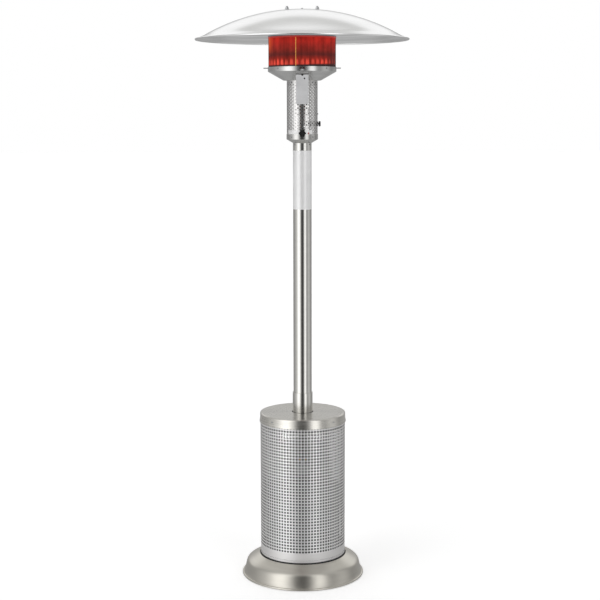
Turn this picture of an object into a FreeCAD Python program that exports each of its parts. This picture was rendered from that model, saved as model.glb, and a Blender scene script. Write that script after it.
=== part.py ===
import FreeCAD, Part
import math
import os

# Fits shared by the pieces
running_fit = 0.08
loose_fit = 0.3

# Feet and pressed base pan
foot_height = 12.0
foot_radius = 15.0
foot_count = 4
pan_wall = 3.0
pan_height = 83.0
pan_step = 8.0
pan_shoulder = 5.5
pan_skew = 13.0
pan_flange = 28.0

# Ballast under the pan
ballast_inner_radius = 60.0
ballast_radius = 150.0
ballast_thickness = 22.0
ballast_bolt_circle = 130.0

# Spun base skirt
skirt_wall = 1.5
skirt_rim_radius = 255.0
skirt_bead_radius = 4.5
skirt_floor_gap = 2.0
skirt_clearance = 3.0
skirt_lip = 3.0

# Perforated cover and its lid
cover_radius = 176.5
cover_wall = 1.2
cover_height = 598.0
hem_radius = 1.6
hem_height = 8.0
window_columns = 12
window_rows = 3
window_width = 24.0
window_length = 130.0
windows_bottom = 40.0
windows_height = 522.0
lid_wall = 1.2
lid_depth = 38.0
lid_flare = 2.8
lid_flare_height = 15.0
lid_corner = 6.0
lid_hole_radius = 45.0
lid_screw_count = 4
lid_screw_bearing = 45.0
lid_screw_drop = 19.0

# Gas cylinder
cylinder_radius = 154.0
cylinder_wall = 3.0
cylinder_side_height = 197.0
cylinder_bottom_height = 62.0
cylinder_crown_height = 70.0
cylinder_ground_gap = 13.0
cylinder_foot_radius = 101.5
cylinder_foot_wall = 2.5
cylinder_ring_height = 15.0
collar_radius = 105.0
collar_wall = 2.5
collar_height = 115.0
collar_opening = 95.0
grip_width = 76.0
grip_height = 26.0
neck_radius = 20.0
neck_height = 10.0
neck_bore_radius = 13.0

# Cylinder valve, hand nut and regulator
valve_block_radius = 15.0
valve_block_height = 46.0
valve_outlet_radius = 15.0
valve_outlet_reach = 46.0
valve_spindle_radius = 4.0
bonnet_wall = 5.0
relief_reach = 12.0
relief_radius = 7.0
relief_cap_radius = 9.0
relief_cap_length = 6.0
nipple_socket = 14.0
handwheel_lift = 14.0
handwheel_radius = 28.0
handwheel_thickness = 13.0
handwheel_lobes = 6
hand_nut_radius = 23.0
hand_nut_length = 24.0
hand_nut_ribs = 12
regulator_radius = 33.0
regulator_thickness = 34.0
regulator_gap = 4.0
regulator_flange = 5.0
regulator_boss_radius = 9.0
regulator_boss_height = 6.0
regulator_barb = 8.0
vent_radius = 4.0
vent_place = 16.0
nipple_radius = 8.0

# Gas hose
hose_radius = 5.5
hose_end_straight = 8.0
ferrule_length = 16.0
ferrule_wall = 2.0
ferrule_overhang = 6.0
hose_end_drop = 12.0
grommet_hole_wall = 5.0
grommet_lip = 3.0
grommet_lip_height = 2.5

# Support legs, top flange and post sleeve
leg_width = 30.0
leg_thickness = 5.0
leg_height = 537.0
leg_foot = 25.0
leg_gap = 7.0
flange_thickness = 5.0
flange_radius = 167.0
sleeve_length = 140.0
sleeve_wall = 3.4
sleeve_bolt_height = 24.0
sleeve_bolt_count = 3
bolt_radius = 4.0
bolt_head_radius = 7.0
bolt_head_height = 5.3
small_bolt_radius = 3.0

# Post
post_radius = 38.1
post_wall = 2.0
post_length = 1171.0
post_screw_drop = 6.0
post_screw_bearing = 54.0

# Cup and perforated control housing
cup_wall = 1.2
cup_cone_height = 15.0
cup_band_height = 21.0
cup_spigot_length = 38.0
housing_radius = 62.5
housing_wall = 1.2
housing_length = 235.7
screw_radius = 1.5
screw_head_radius = 3.2
screw_head_height = 2.0
screw_reach = 5.0
cup_screw_bearing = 44.0
head_screw_bearing = 45.0
head_screw_drop = 7.0
seam_screw_rise = 102.0
shelf_thickness = 2.0

# Gas valve with its stem and knob
valve_width = 36.0
valve_depth = 34.0
valve_height = 38.0
valve_front = 46.0
valve_nose_radius = 7.5
valve_nose_proud = 0.4
valve_outlet_place = 8.0
valve_outlet_height = 6.0
valve_outlet_wall = 3.0
knob_height = 22.5
stem_radius = 3.0
plunger_radius = 2.0
plunger_length = 18.0
knob_radius = 15.0
knob_lobes = 6
knob_lobe_radius = 4.2
knob_depth = 17.0
knob_grip_height = 5.0
knob_grip_width = 5.2
knob_travel = 4.0
knob_running_gap = 1.0
panel_nut_radius = 11.0
panel_nut_height = 3.5
plate_gap = 0.8
elbow_radius = 8.0

# Igniter
igniter_height = 60.0
igniter_body_radius = 10.0
igniter_body_length = 40.0
igniter_inset = 6.0
igniter_stem_length = 18.0
igniter_barrel_radius = 6.5
igniter_stem_radius = 3.5
igniter_nut_radius = 9.0
igniter_nut_height = 3.0
igniter_cap_radius = 10.8
igniter_cap_wall = 1.3
igniter_cap_length = 7.5
igniter_travel = 4.0

# Tilt switch
tilt_radius = 12.0
tilt_height = 26.0
tilt_place = 30.0

# Burner feed
pipe_radius = 4.0
orifice_radius = 8.0
orifice_tip_radius = 4.0
orifice_tip_length = 8.0
orifice_rise = 38.0
orifice_length = 20.0
shutter_radius = 26.0
shutter_wall = 1.5
shutter_length = 28.0
shutter_window_width = 18.0
shutter_window_height = 12.0
shutter_window_rise = 5.0
mixer_throat_radius = 16.0
mixer_radius = 22.0
mixer_wall = 1.5
mixer_bell_height = 7.0
mixer_funnel_height = 18.0
mixer_throat_height = 10.0
mixer_flare_height = 25.0
mixer_top_gap = 2.0
burner_radius = 94.0
burner_wall = 3.0
burner_hub_height = 14.0
burner_foot = 14.0
burner_dish_height = 14.0
burner_side_height = 12.0
burner_port_inset = 9.0
burner_port_radius = 2.0
burner_port_count = 24

# Burner bowl
bowl_wall = 1.2
bowl_floor_radius = 76.0
bowl_rim_radius = 138.5
bowl_cone_height = 34.0
bowl_band_height = 18.0
bowl_collar_length = 18.0
rim_screw_count = 4
rim_screw_bearing = 45.0
rim_pin_radius = 2.0
rim_pin_reach = 18.0

# Emitter screen and cap
emitter_fit = 1.3
emitter_wall = 1.2
emitter_sink = 16.0
emitter_height = 138.3
cap_wall = 1.5
cap_lip = 9.0
cap_overhang = 1.5

# Pilot group
port_width = 20.0
port_height = 8.0
port_drop = 8.0
pilot_radius = 3.2
pilot_place = 108.0
pilot_tube_radius = 2.2
pilot_lead_radius = 1.5
pilot_lead_pitch = 8.0
pilot_line_place = 38.0
pilot_line_bend = 25.0
bracket_wall = 1.2
bracket_width = 23.0
passage_width = 28.0
passage_inner = 86.0
passage_outer = 110.0
pilot_cover_width = 50.0
pilot_cover_wall = 1.2
pilot_cover_drop = 95.0
pilot_cover_rise = 21.0
pilot_cover_hole_radius = 3.3
pilot_cover_hole_offset = 9.0
pilot_cover_hole_drop = 15.0
pilot_cover_notch = 6.0
slot_width = 34.0
slot_length = 62.0

# Reflector and its studs
reflector_lift = 106.0
reflector_crown_radius = 800.0
reflector_wall = 1.5
reflector_fold_radius = 396.0
reflector_rim_radius = 431.8
reflector_bead_radius = 3.2
reflector_rim_drop = 12.0
stud_count = 3
stud_circle = 70.0
stud_bearing = 60.0
stud_radius = 4.0
stud_tip = 4.0
spacer_radius = 7.0
washer_radius = 9.0
washer_thickness = 1.5
nut_radius = 7.5
nut_height = 6.5

# Heights, radii and holes that follow from the values above
bolt_hole = bolt_radius + loose_fit
small_bolt_hole = small_bolt_radius + running_fit
screw_hole = screw_radius + running_fit
pin_hole_radius = rim_pin_radius + running_fit
pan_top = foot_height + pan_height
shoulder_top = pan_top - pan_step
pan_top_radius = cover_radius + 2.0
skirt_opening = pan_top_radius + skirt_clearance
foot_circle = pan_top_radius + pan_shoulder + pan_skew + pan_flange / 2 - 2.0
leg_inner_radius = cylinder_radius + leg_gap
leg_bolt_circle = leg_inner_radius - leg_foot / 2
flange_bottom = pan_top + leg_height
flange_top = flange_bottom + flange_thickness
sleeve_radius = post_radius + sleeve_wall
sleeve_bolt_level = flange_top + sleeve_bolt_height
post_bore_radius = post_radius - post_wall
post_top = flange_top + post_length
lid_top = pan_top + cover_height + lid_wall
cylinder_bottom = pan_top + cylinder_ground_gap
cylinder_lower = cylinder_bottom + cylinder_bottom_height
cylinder_upper = cylinder_lower + cylinder_side_height
crown_apex = cylinder_upper + cylinder_crown_height
neck_top = crown_apex + neck_height
outlet_height = neck_top + valve_block_height / 2
handwheel_bottom = neck_top + valve_block_height + handwheel_lift
regulator_place = valve_outlet_reach + regulator_gap + regulator_radius + hand_nut_length / 2
regulator_top = outlet_height + regulator_thickness / 2
hose_bottom = regulator_top + regulator_boss_height + regulator_barb
post_screw_level = post_top - post_screw_drop
cup_top = post_top + cup_cone_height + cup_band_height
cup_screw_level = cup_top - cup_band_height / 2 - 1.0
cup_radius = housing_radius + cup_wall + loose_fit
housing_bottom = post_top + cup_cone_height + loose_fit
housing_top = housing_bottom + housing_length
housing_bore = housing_radius - housing_wall
head_screw_level = housing_top - head_screw_drop
shelf_bottom = housing_bottom
shelf_top = shelf_bottom + shelf_thickness
knob_axis = shelf_top + knob_height
hose_top = shelf_bottom - hose_end_drop
plate_seat = housing_radius + plate_gap
nose_front = plate_seat + panel_nut_height + valve_nose_proud
seam_screw_level = housing_bottom + seam_screw_rise
igniter_axis = shelf_top + igniter_height
valve_top = shelf_top + valve_height
orifice_bottom = valve_top + orifice_rise
shutter_bottom = orifice_bottom + orifice_length
emitter_radius = bowl_rim_radius - bowl_wall - emitter_fit
bowl_floor = housing_top
bowl_cone_top = bowl_floor + bowl_wall + bowl_cone_height
bowl_top = bowl_cone_top + bowl_band_height
rim_screw_level = bowl_top - bowl_band_height / 2 + 2.0
rim_pin_level = bowl_top - rim_pin_radius - 2.0
emitter_bottom = bowl_top - emitter_sink
emitter_top = emitter_bottom + emitter_height
cap_top = emitter_top + cap_wall
reflector_apex = cap_top + reflector_lift
port_axis = bowl_top - port_drop
port_bottom = port_axis - port_height / 2
pilot_seat = port_bottom + bracket_wall
slot_top = housing_top - 15.0
pilot_cover_bottom = housing_top - pilot_cover_drop
pilot_cover_top = housing_top + pilot_cover_rise


def vec(x, y, z):
    return FreeCAD.Vector(x, y, z)


def disc(radius, bottom, top):
    return Part.makeCylinder(radius, top - bottom, vec(0, 0, bottom))


def tube(outer, inner, bottom, top):
    return disc(outer, bottom, top).cut(disc(inner, bottom, top))


def rod(radius, start, end):
    """Round bar between two points."""
    run = end.sub(start)
    return Part.makeCylinder(radius, run.Length, start, run)


def block(low, high):
    return Part.makeBox(high[0] - low[0], high[1] - low[1], high[2] - low[2], vec(*low))


def edge_between(first, last):
    return Part.LineSegment(vec(first[0], 0, first[1]), vec(last[0], 0, last[1])).toShape()


def revolved(edges):
    face = Part.Face(Part.Wire(Part.__sortEdges__(edges)))
    return face.revolve(vec(0, 0, 0), vec(0, 0, 1), 360)


def turned(outline):
    """Solid of revolution about Z from (radius, height) corners."""
    corners = [vec(radius, 0, height) for radius, height in outline]
    face = Part.Face(Part.makePolygon(corners + [corners[0]]))
    return face.revolve(vec(0, 0, 0), vec(0, 0, 1), 360)


def spun_sheet(points, wall):
    """Sheet of revolution whose outer line runs smoothly through the points, from the inside outwards."""
    outer = Part.BSplineCurve()
    outer.interpolate([vec(radius, 0, height) for radius, height in points])
    inner_points = []
    for index in range(len(points)):
        place = outer.parameter(vec(points[index][0], 0, points[index][1]))
        along = outer.tangent(place)[0]
        inward = vec(along.z, 0, -along.x)
        inner_points.append(outer.value(place).add(inward.multiply(wall)))
    inner = Part.BSplineCurve()
    inner.interpolate(inner_points)
    start = Part.LineSegment(outer.StartPoint, inner.StartPoint)
    end = Part.LineSegment(outer.EndPoint, inner.EndPoint)
    return revolved([outer.toShape(), end.toShape(), inner.toShape(), start.toShape()])


def at_bearing(shape, bearing):
    """Turns a shape made on the +X side to a bearing counted from the front towards +X."""
    moved = shape.copy()
    moved.rotate(vec(0, 0, 0), vec(0, 0, 1), bearing - 90)
    return moved


def around(shape, count, first_bearing):
    return [at_bearing(shape, first_bearing + 360 * index / count) for index in range(count)]


def hexagon(radius, bottom, top):
    """Hexagonal prism with the given radius over its corners."""
    corners = []
    for index in range(6):
        turn = math.radians(60 * index)
        corners.append(vec(radius * math.cos(turn), radius * math.sin(turn), bottom))
    face = Part.Face(Part.makePolygon(corners + [corners[0]]))
    return face.extrude(vec(0, 0, top - bottom))


def pillar(radius, place, bottom, top):
    """Upright cylinder whose axis stands at a radius on +X."""
    return Part.makeCylinder(radius, top - bottom, vec(place, 0, bottom))


def laid(shape, x, y, z):
    moved = shape.copy()
    moved.translate(vec(x, y, z))
    return moved


def facing_front(shape, height):
    """Turns a shape made about Z, its foot at the origin, to point to the front at a height."""
    moved = shape.copy()
    moved.rotate(vec(0, 0, 0), vec(1, 0, 0), 90)
    moved.translate(vec(0, 0, height))
    return moved


def radial_rod(radius, low, high, height):
    return rod(radius, vec(low, 0, height), vec(high, 0, height))


def radial_screw(seat, height):
    """Sheet screw along +X whose head sits at a radius."""
    shank = radial_rod(screw_radius, seat - screw_reach, seat, height)
    head = radial_rod(screw_head_radius, seat, seat + screw_head_height, height)
    return shank.fuse(head).removeSplitter()


def bent_tube(points, bends, radius):
    """Round tube through the points, with a tangent arc of the given radius at each inner point."""
    edges = []
    start = points[0]
    for corner, after, bend in zip(points[1:-1], points[2:], bends):
        back = start.sub(corner).normalize()
        ahead = after.sub(corner).normalize()
        half = back.getAngle(ahead) / 2
        tangent = bend / math.tan(half)
        first = corner.add(vec(*back).multiply(tangent))
        last = corner.add(vec(*ahead).multiply(tangent))
        inside = back.add(ahead).normalize()
        middle = corner.add(inside.multiply(bend / math.sin(half) - bend))
        if first.sub(start).Length > 1e-3:
            edges.append(Part.LineSegment(start, first).toShape())
        edges.append(Part.Arc(first, middle, last).toShape())
        start = last
    edges.append(Part.LineSegment(start, points[-1]).toShape())
    path = Part.Wire(edges)
    away = points[1].sub(points[0])
    section = Part.Wire([Part.Circle(points[0], away, radius).toShape()])
    solid = path.makePipeShell([section], True, False)
    expected = math.pi * radius ** 2 * path.Length
    print("bend radii", [round(bend, 1) for bend in bends], "length", round(path.Length, 1))
    print("volume over section times length", round(solid.Volume / expected, 4))
    return solid


def keep(name, solids):
    """Writes one node from a solid or a group of separate solids."""
    shape = Part.makeCompound(solids) if isinstance(solids, list) else solids
    flaws = [solid for solid in shape.Solids if not solid.isValid()]
    if flaws or not shape.Solids:
        print("check", name, "solids", len(shape.Solids), "flawed", len(flaws))
    shape.exportStep("parts/" + name + ".step")


def rubber_feet():
    return around(pillar(foot_radius, foot_circle, 0, foot_height), foot_count, 45)


def base_pan():
    """Pressed pan: raised top, shoulder for the skirt, sloping wall and a flange on the feet."""
    shoulder_radius = pan_top_radius + pan_shoulder
    wall_foot = shoulder_radius + pan_skew
    flange_radius_out = wall_foot + pan_flange
    flange_level = foot_height + pan_wall
    pan = turned([
        (0, pan_top),
        (pan_top_radius, pan_top),
        (pan_top_radius, shoulder_top),
        (shoulder_radius, shoulder_top),
        (wall_foot, flange_level),
        (flange_radius_out, flange_level),
        (flange_radius_out, foot_height),
        (wall_foot - pan_wall, foot_height),
        (shoulder_radius - pan_wall, shoulder_top - pan_wall),
        (pan_top_radius - pan_wall, shoulder_top - pan_wall),
        (pan_top_radius - pan_wall, pan_top - pan_wall),
        (0, pan_top - pan_wall),
    ])
    ballast_hole = pillar(bolt_hole, ballast_bolt_circle, pan_top - pan_wall, pan_top)
    leg_hole = pillar(bolt_hole, leg_bolt_circle, pan_top - pan_wall, pan_top)
    return pan.cut(around(ballast_hole, 3, 0) + leg_copies(leg_hole))


def leg_copies(shape):
    """Copies at the three legs: left, right and rear. The front stays free for the gas cylinder."""
    return [at_bearing(shape, bearing) for bearing in (-90, 90, 180)]


def ballast_ring():
    top = pan_top - pan_wall
    bottom = top - ballast_thickness
    hole = pillar(bolt_hole, ballast_bolt_circle, bottom, top)
    notch = pillar(bolt_head_radius + 4, leg_bolt_circle, bottom, top)
    ring = tube(ballast_radius, ballast_inner_radius, bottom, top)
    return ring.cut(around(hole, 3, 0) + leg_copies(notch))


def bolt_and_nut(circle, head_seat, nut_seat):
    """Hexagon bolt with its head above and its nut below, as two solids at a radius on +X."""
    head = hexagon(bolt_head_radius, head_seat, head_seat + bolt_head_height)
    shank = disc(bolt_radius, nut_seat - nut_height - 3, head_seat)
    bolt = laid(head.fuse(shank).removeSplitter(), circle, 0, 0)
    nut = hexagon(bolt_head_radius, nut_seat - nut_height, nut_seat)
    bored = nut.cut(disc(bolt_radius + running_fit, nut_seat - nut_height, nut_seat))
    return [bolt, laid(bored, circle, 0, 0)]


def ballast_bolts():
    pieces = bolt_and_nut(ballast_bolt_circle, pan_top, pan_top - pan_wall - ballast_thickness)
    return around(pieces[0], 3, 0) + around(pieces[1], 3, 0)


def base_skirt():
    """Spun skirt from the opening round the pan down to a rolled bead just above the floor."""
    bead_centre = skirt_rim_radius - skirt_bead_radius
    bead_height = skirt_floor_gap + skirt_bead_radius
    opening_height = shoulder_top + skirt_lip
    width = bead_centre - skirt_opening
    height = opening_height - bead_height
    curve = [
        (0.0, 1.0), (0.12, 0.955), (0.31, 0.875), (0.54, 0.77), (0.745, 0.645),
        (0.825, 0.464), (0.865, 0.307), (0.912, 0.163), (0.985, 0.05),
    ]
    points = [(skirt_opening + width * out, bead_height + height * up) for out, up in curve]
    sheet = spun_sheet(points, skirt_wall)
    lip = tube(skirt_opening + skirt_wall, skirt_opening, shoulder_top, opening_height - skirt_wall / 2)
    bead = Part.makeTorus(bead_centre, skirt_bead_radius, vec(0, 0, bead_height))
    return sheet.fuse([lip, bead]).removeSplitter()


def cover_shell():
    """Rolled sheet cover with a fine hem bead above its lower edge; it stands on the pan."""
    top = pan_top + cover_height - (lid_corner - lid_wall)
    shell = tube(cover_radius, cover_radius - cover_wall, pan_top, top)
    hem = Part.makeTorus(cover_radius - hem_radius / 2, hem_radius, vec(0, 0, pan_top + hem_height))
    hole = radial_rod(screw_hole, cover_radius - 5, cover_radius + 5, lid_top - lid_screw_drop)
    inside = disc(cover_radius - cover_wall, pan_top, top)
    whole = shell.fuse(hem.cut(inside)).removeSplitter()
    return whole.cut(around(hole, lid_screw_count, lid_screw_bearing) + cover_windows())


def cover_windows():
    """Cutters for a plain grid of upright openings, which stands for the cover's fine punched holes."""
    pitch = windows_height / window_rows
    cutters = []
    for row in range(window_rows):
        level = pan_top + windows_bottom + pitch * (row + 0.5)
        low = (cover_radius - 2 * cover_wall, -window_width / 2, level - window_length / 2)
        high = (cover_radius + cover_wall, window_width / 2, level + window_length / 2)
        cutters += around(block(low, high), window_columns, 0)
    return cutters


def cover_lid():
    """Spun lid: flat top with a centre hole, rounded corner, and a side that flares at its lower edge."""
    outer = cover_radius + lid_wall + running_fit
    bottom = lid_top - lid_depth
    flare_start = bottom + lid_flare_height
    lid = turned([
        (lid_hole_radius, lid_top),
        (outer, lid_top),
        (outer, flare_start),
        (outer + lid_flare, bottom),
        (outer + lid_flare - lid_wall, bottom),
        (outer - lid_wall, flare_start),
        (outer - lid_wall, lid_top - lid_wall),
        (lid_hole_radius, lid_top - lid_wall),
    ])
    lid = lid.makeFillet(lid_corner, circles_at(lid, outer, lid_top))
    lid = lid.makeFillet(lid_corner - lid_wall, circles_at(lid, outer - lid_wall, lid_top - lid_wall))
    hole = radial_rod(screw_hole, outer - 5, outer + 5, lid_top - lid_screw_drop)
    return lid.cut(around(hole, lid_screw_count, lid_screw_bearing))


def circles_at(shape, radius, height):
    """Level circular edges of a shape with the given radius and height."""
    found = []
    for edge in shape.Edges:
        box = edge.BoundBox
        if box.ZLength < 1e-6 and abs(box.ZMax - height) < 1e-6 and abs(box.XMax - radius) < 1e-6:
            found.append(edge)
    return found


def lid_screws():
    screw = radial_screw(cover_radius + lid_wall + running_fit, lid_top - lid_screw_drop)
    return around(screw, lid_screw_count, lid_screw_bearing)


def gas_cylinder():
    """Welded steel cylinder with domed ends, a foot ring and a bored neck."""
    tips = [
        edge_between((0, crown_apex), (0, crown_apex - cylinder_wall)),
        edge_between((0, cylinder_bottom), (0, cylinder_bottom + cylinder_wall)),
    ]
    body = revolved(cylinder_line(0) + cylinder_line(cylinder_wall) + tips)
    neck = disc(neck_radius, crown_apex - cylinder_wall * 2, neck_top)
    foot = tube(cylinder_foot_radius, cylinder_foot_radius - cylinder_foot_wall, pan_top, cylinder_lower)
    foot = foot.cut(cylinder_envelope(cylinder_wall / 2))
    bore = disc(neck_bore_radius, cylinder_upper, neck_top)
    return body.fuse([neck, foot]).cut(bore).removeSplitter()


def cylinder_line(inset):
    """Side and domed ends of the gas cylinder as edges, inset by the wall or not."""
    radius = cylinder_radius - inset
    return [
        end_arc(radius, cylinder_lower, inset - cylinder_bottom_height),
        edge_between((radius, cylinder_lower), (radius, cylinder_upper)),
        end_arc(radius, cylinder_upper, cylinder_crown_height - inset),
    ]


def cylinder_envelope(inset):
    """Filled form of the gas cylinder, inset by the given depth."""
    axis = edge_between((0, crown_apex - inset), (0, cylinder_bottom + inset))
    return revolved(cylinder_line(inset) + [axis])


def end_arc(radius, level, rise):
    """Quarter ellipse of a domed end, from the side at a level to the tip on the axis."""
    ellipse = Part.Ellipse(vec(radius, 0, level), vec(0, 0, level + rise), vec(0, 0, level))
    return Part.ArcOfEllipse(ellipse, 0, math.pi / 2).toBSpline().toShape()


def cylinder_ring():
    """Low ring on the pan that keeps the cylinder's foot in place."""
    inner = cylinder_foot_radius + 2.0
    return tube(inner + pan_wall, inner, pan_top, pan_top + cylinder_ring_height)


def collar():
    """Guard round the cylinder valve, open at the front, with a grip hole on each side."""
    bottom = crown_apex - cylinder_crown_height
    top = crown_apex + collar_height
    ring = tube(collar_radius, collar_radius - collar_wall, bottom, top).cut(cylinder_envelope(0))
    reach = collar_radius + 10
    half = math.radians(collar_opening / 2)
    wedge_corners = [
        vec(0, 0, bottom),
        vec(-2 * reach * math.sin(half), -2 * reach * math.cos(half), bottom),
        vec(2 * reach * math.sin(half), -2 * reach * math.cos(half), bottom),
        vec(0, 0, bottom),
    ]
    wedge = Part.Face(Part.makePolygon(wedge_corners)).extrude(vec(0, 0, top - bottom))
    grip_top = top - 20
    grip = block((-reach, -grip_width / 2, grip_top - grip_height), (reach, grip_width / 2, grip_top))
    return ring.cut([wedge, grip])


def cylinder_valve():
    """Brass valve: threaded stub in the neck, body, front outlet, rear relief boss and bonnet."""
    body_top = neck_top + valve_block_height
    stub = disc(neck_bore_radius - running_fit, crown_apex - cylinder_wall * 2, neck_top)
    body = disc(valve_block_radius, neck_top, body_top)
    bonnet = disc(valve_spindle_radius + bonnet_wall, body_top, handwheel_bottom - 1)
    outlet = rod(valve_outlet_radius, vec(0, 0, outlet_height), vec(0, -valve_outlet_reach, outlet_height))
    relief_end = valve_block_radius + relief_reach
    relief = rod(relief_radius, vec(0, 0, outlet_height), vec(0, relief_end, outlet_height))
    cap_end = vec(0, relief_end + relief_cap_length, outlet_height)
    relief_cap = rod(relief_cap_radius, vec(0, relief_end, outlet_height), cap_end)
    valve = stub.fuse([body, bonnet, outlet, relief, relief_cap]).removeSplitter()
    spindle_foot = outlet_height + valve_outlet_radius + 3
    spindle_bore = disc(valve_spindle_radius + running_fit, spindle_foot, handwheel_bottom)
    socket_start = vec(0, -valve_outlet_reach, outlet_height)
    socket_end = vec(0, -valve_outlet_reach + nipple_socket, outlet_height)
    socket = rod(nipple_radius + running_fit, socket_start, socket_end)
    return valve.cut([spindle_bore, socket])


def valve_handwheel():
    """Lobed handwheel on its spindle."""
    top = handwheel_bottom + handwheel_thickness
    lobe_radius = handwheel_radius * 0.3
    web = disc(handwheel_radius * 0.72, handwheel_bottom, top)
    lobe = pillar(lobe_radius, handwheel_radius - lobe_radius, handwheel_bottom, top)
    spindle = disc(valve_spindle_radius, outlet_height + valve_outlet_radius + 5, handwheel_bottom)
    return web.fuse(around(lobe, handwheel_lobes, 90) + [spindle]).removeSplitter()


def regulator_nut():
    """Ribbed hand nut that turns on the cylinder valve's outlet."""
    bore = valve_outlet_radius + loose_fit
    barrel = tube(hand_nut_radius - 2, bore, 0, hand_nut_length)
    rib = pillar(2.5, hand_nut_radius - 2.5, 0, hand_nut_length)
    end = tube(hand_nut_radius - 2, nipple_radius + loose_fit, hand_nut_length - 4, hand_nut_length)
    nut = barrel.fuse(around(rib, hand_nut_ribs, 90) + [end]).removeSplitter()
    start = valve_outlet_reach - hand_nut_length + 4.5
    return facing_front(laid(nut, 0, 0, start), outlet_height)


def regulator():
    """Two flanged half shells with the inlet nipple at the back and the hose boss on top."""
    low = outlet_height - regulator_thickness / 2
    half_flange = regulator_flange / 2
    boss_top = regulator_top + regulator_boss_height
    flange = disc(regulator_radius, outlet_height - half_flange, outlet_height + half_flange)
    shell = disc(regulator_radius - 5, low, regulator_top)
    boss = disc(regulator_boss_radius, regulator_top, boss_top)
    barb = disc(hose_radius, boss_top, hose_bottom)
    vent = pillar(vent_radius, vent_place, outlet_height, boss_top)
    body = laid(shell.fuse([flange, boss, barb, vent]), 0, -regulator_place, 0)
    nipple_start = vec(0, -valve_outlet_reach + nipple_socket - 2, outlet_height)
    nipple = rod(nipple_radius, nipple_start, vec(0, -regulator_place, outlet_height))
    return body.fuse(nipple).removeSplitter()


def gas_hose():
    """Hose from the regulator: up, over to the post's axis in one easy S, and up through the post."""
    rise = flange_bottom - hose_bottom - 2 * hose_end_straight
    half_turn = math.atan2(regulator_place, rise)
    tangent = regulator_place / (2 * math.sin(2 * half_turn))
    bend = tangent / math.tan(half_turn)
    low_corner = vec(0, -regulator_place, hose_bottom + hose_end_straight + tangent)
    high_corner = vec(0, 0, flange_bottom - hose_end_straight - tangent)
    points = [vec(0, -regulator_place, hose_bottom), low_corner, high_corner, vec(0, 0, hose_top)]
    return bent_tube(points, [bend, bend], hose_radius)


def hose_ferrules():
    """Crimped sleeves at the two ends of the hose."""
    ring = tube(hose_radius + running_fit + ferrule_wall, hose_radius + running_fit, 0, ferrule_length)
    return [
        laid(ring, 0, -regulator_place, hose_bottom - ferrule_length / 2),
        laid(ring, 0, 0, hose_top - ferrule_length + ferrule_overhang),
    ]


def support_leg(bearing):
    """Flat bar with both ends bent inwards: the foot bolts to the pan and the head to the flange."""
    inner = leg_inner_radius
    outer = inner + leg_thickness
    tip = inner - leg_foot
    half = leg_width / 2
    bar = block((inner, -half, pan_top), (outer, half, flange_bottom))
    foot = block((tip, -half, pan_top), (outer, half, pan_top + leg_thickness))
    head = block((tip, -half, flange_bottom - leg_thickness), (outer, half, flange_bottom))
    leg = bar.fuse([foot, head]).removeSplitter()
    hole_low = pillar(bolt_hole, leg_bolt_circle, pan_top, pan_top + leg_thickness)
    hole_high = laid(hole_low, 0, 0, leg_height - leg_thickness)
    return at_bearing(leg.cut([hole_low, hole_high]), bearing)


def leg_bolts():
    low = bolt_and_nut(leg_bolt_circle, pan_top + leg_thickness, pan_top - pan_wall)
    high = bolt_and_nut(leg_bolt_circle, flange_top, flange_bottom - leg_thickness)
    return [copy for piece in low + high for copy in leg_copies(piece)]


def top_flange():
    """Round plate on the legs that carries the sleeve and the post."""
    plate = disc(flange_radius, flange_bottom, flange_top)
    centre = disc(hose_radius + grommet_hole_wall, flange_bottom, flange_top)
    hole = pillar(bolt_hole, leg_bolt_circle, flange_bottom, flange_top)
    return plate.cut([centre] + leg_copies(hole))


def hose_grommet():
    """Rubber grommet in the flange's centre hole, with a groove that holds the plate."""
    low = flange_bottom - grommet_lip_height
    high = flange_top + grommet_lip_height
    lip_radius = hose_radius + grommet_hole_wall + grommet_lip
    body = disc(hose_radius + grommet_hole_wall - running_fit, flange_bottom, flange_top)
    lower = disc(lip_radius, low, flange_bottom)
    upper = disc(lip_radius, flange_top, high)
    bore = disc(hose_radius + running_fit, low, high)
    return body.fuse([lower, upper]).removeSplitter().cut(bore)


def post_sleeve():
    sleeve = tube(sleeve_radius, post_radius + running_fit, flange_top, flange_top + sleeve_length)
    hole = radial_rod(small_bolt_hole, post_radius - 5, sleeve_radius + 5, sleeve_bolt_level)
    return sleeve.cut(around(hole, sleeve_bolt_count, 60))


def post():
    """Long post, open inside for the hose, with holes for the sleeve bolts and the cup's screws."""
    pipe = tube(post_radius, post_bore_radius, flange_top, post_top)
    low_hole = radial_rod(small_bolt_hole, post_bore_radius - 2, post_radius + 2, sleeve_bolt_level)
    high_hole = radial_rod(screw_hole, post_bore_radius - 2, post_radius + 2, post_screw_level)
    cut = pipe.cut(around(low_hole, sleeve_bolt_count, 60))
    return cut.cut(mirrored_bearings(high_hole, post_screw_bearing))


def mirrored_bearings(shape, bearing):
    """Copies at a bearing left and right of the front and of the back."""
    return [at_bearing(shape, place) for place in (bearing, -bearing, 180 - bearing, 180 + bearing)]


def sleeve_bolts():
    shank = radial_rod(small_bolt_radius, post_bore_radius - 4, sleeve_radius, sleeve_bolt_level)
    head = radial_rod(bolt_head_radius - 2, sleeve_radius, sleeve_radius + 4, sleeve_bolt_level)
    return around(shank.fuse(head).removeSplitter(), sleeve_bolt_count, 60)


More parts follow.
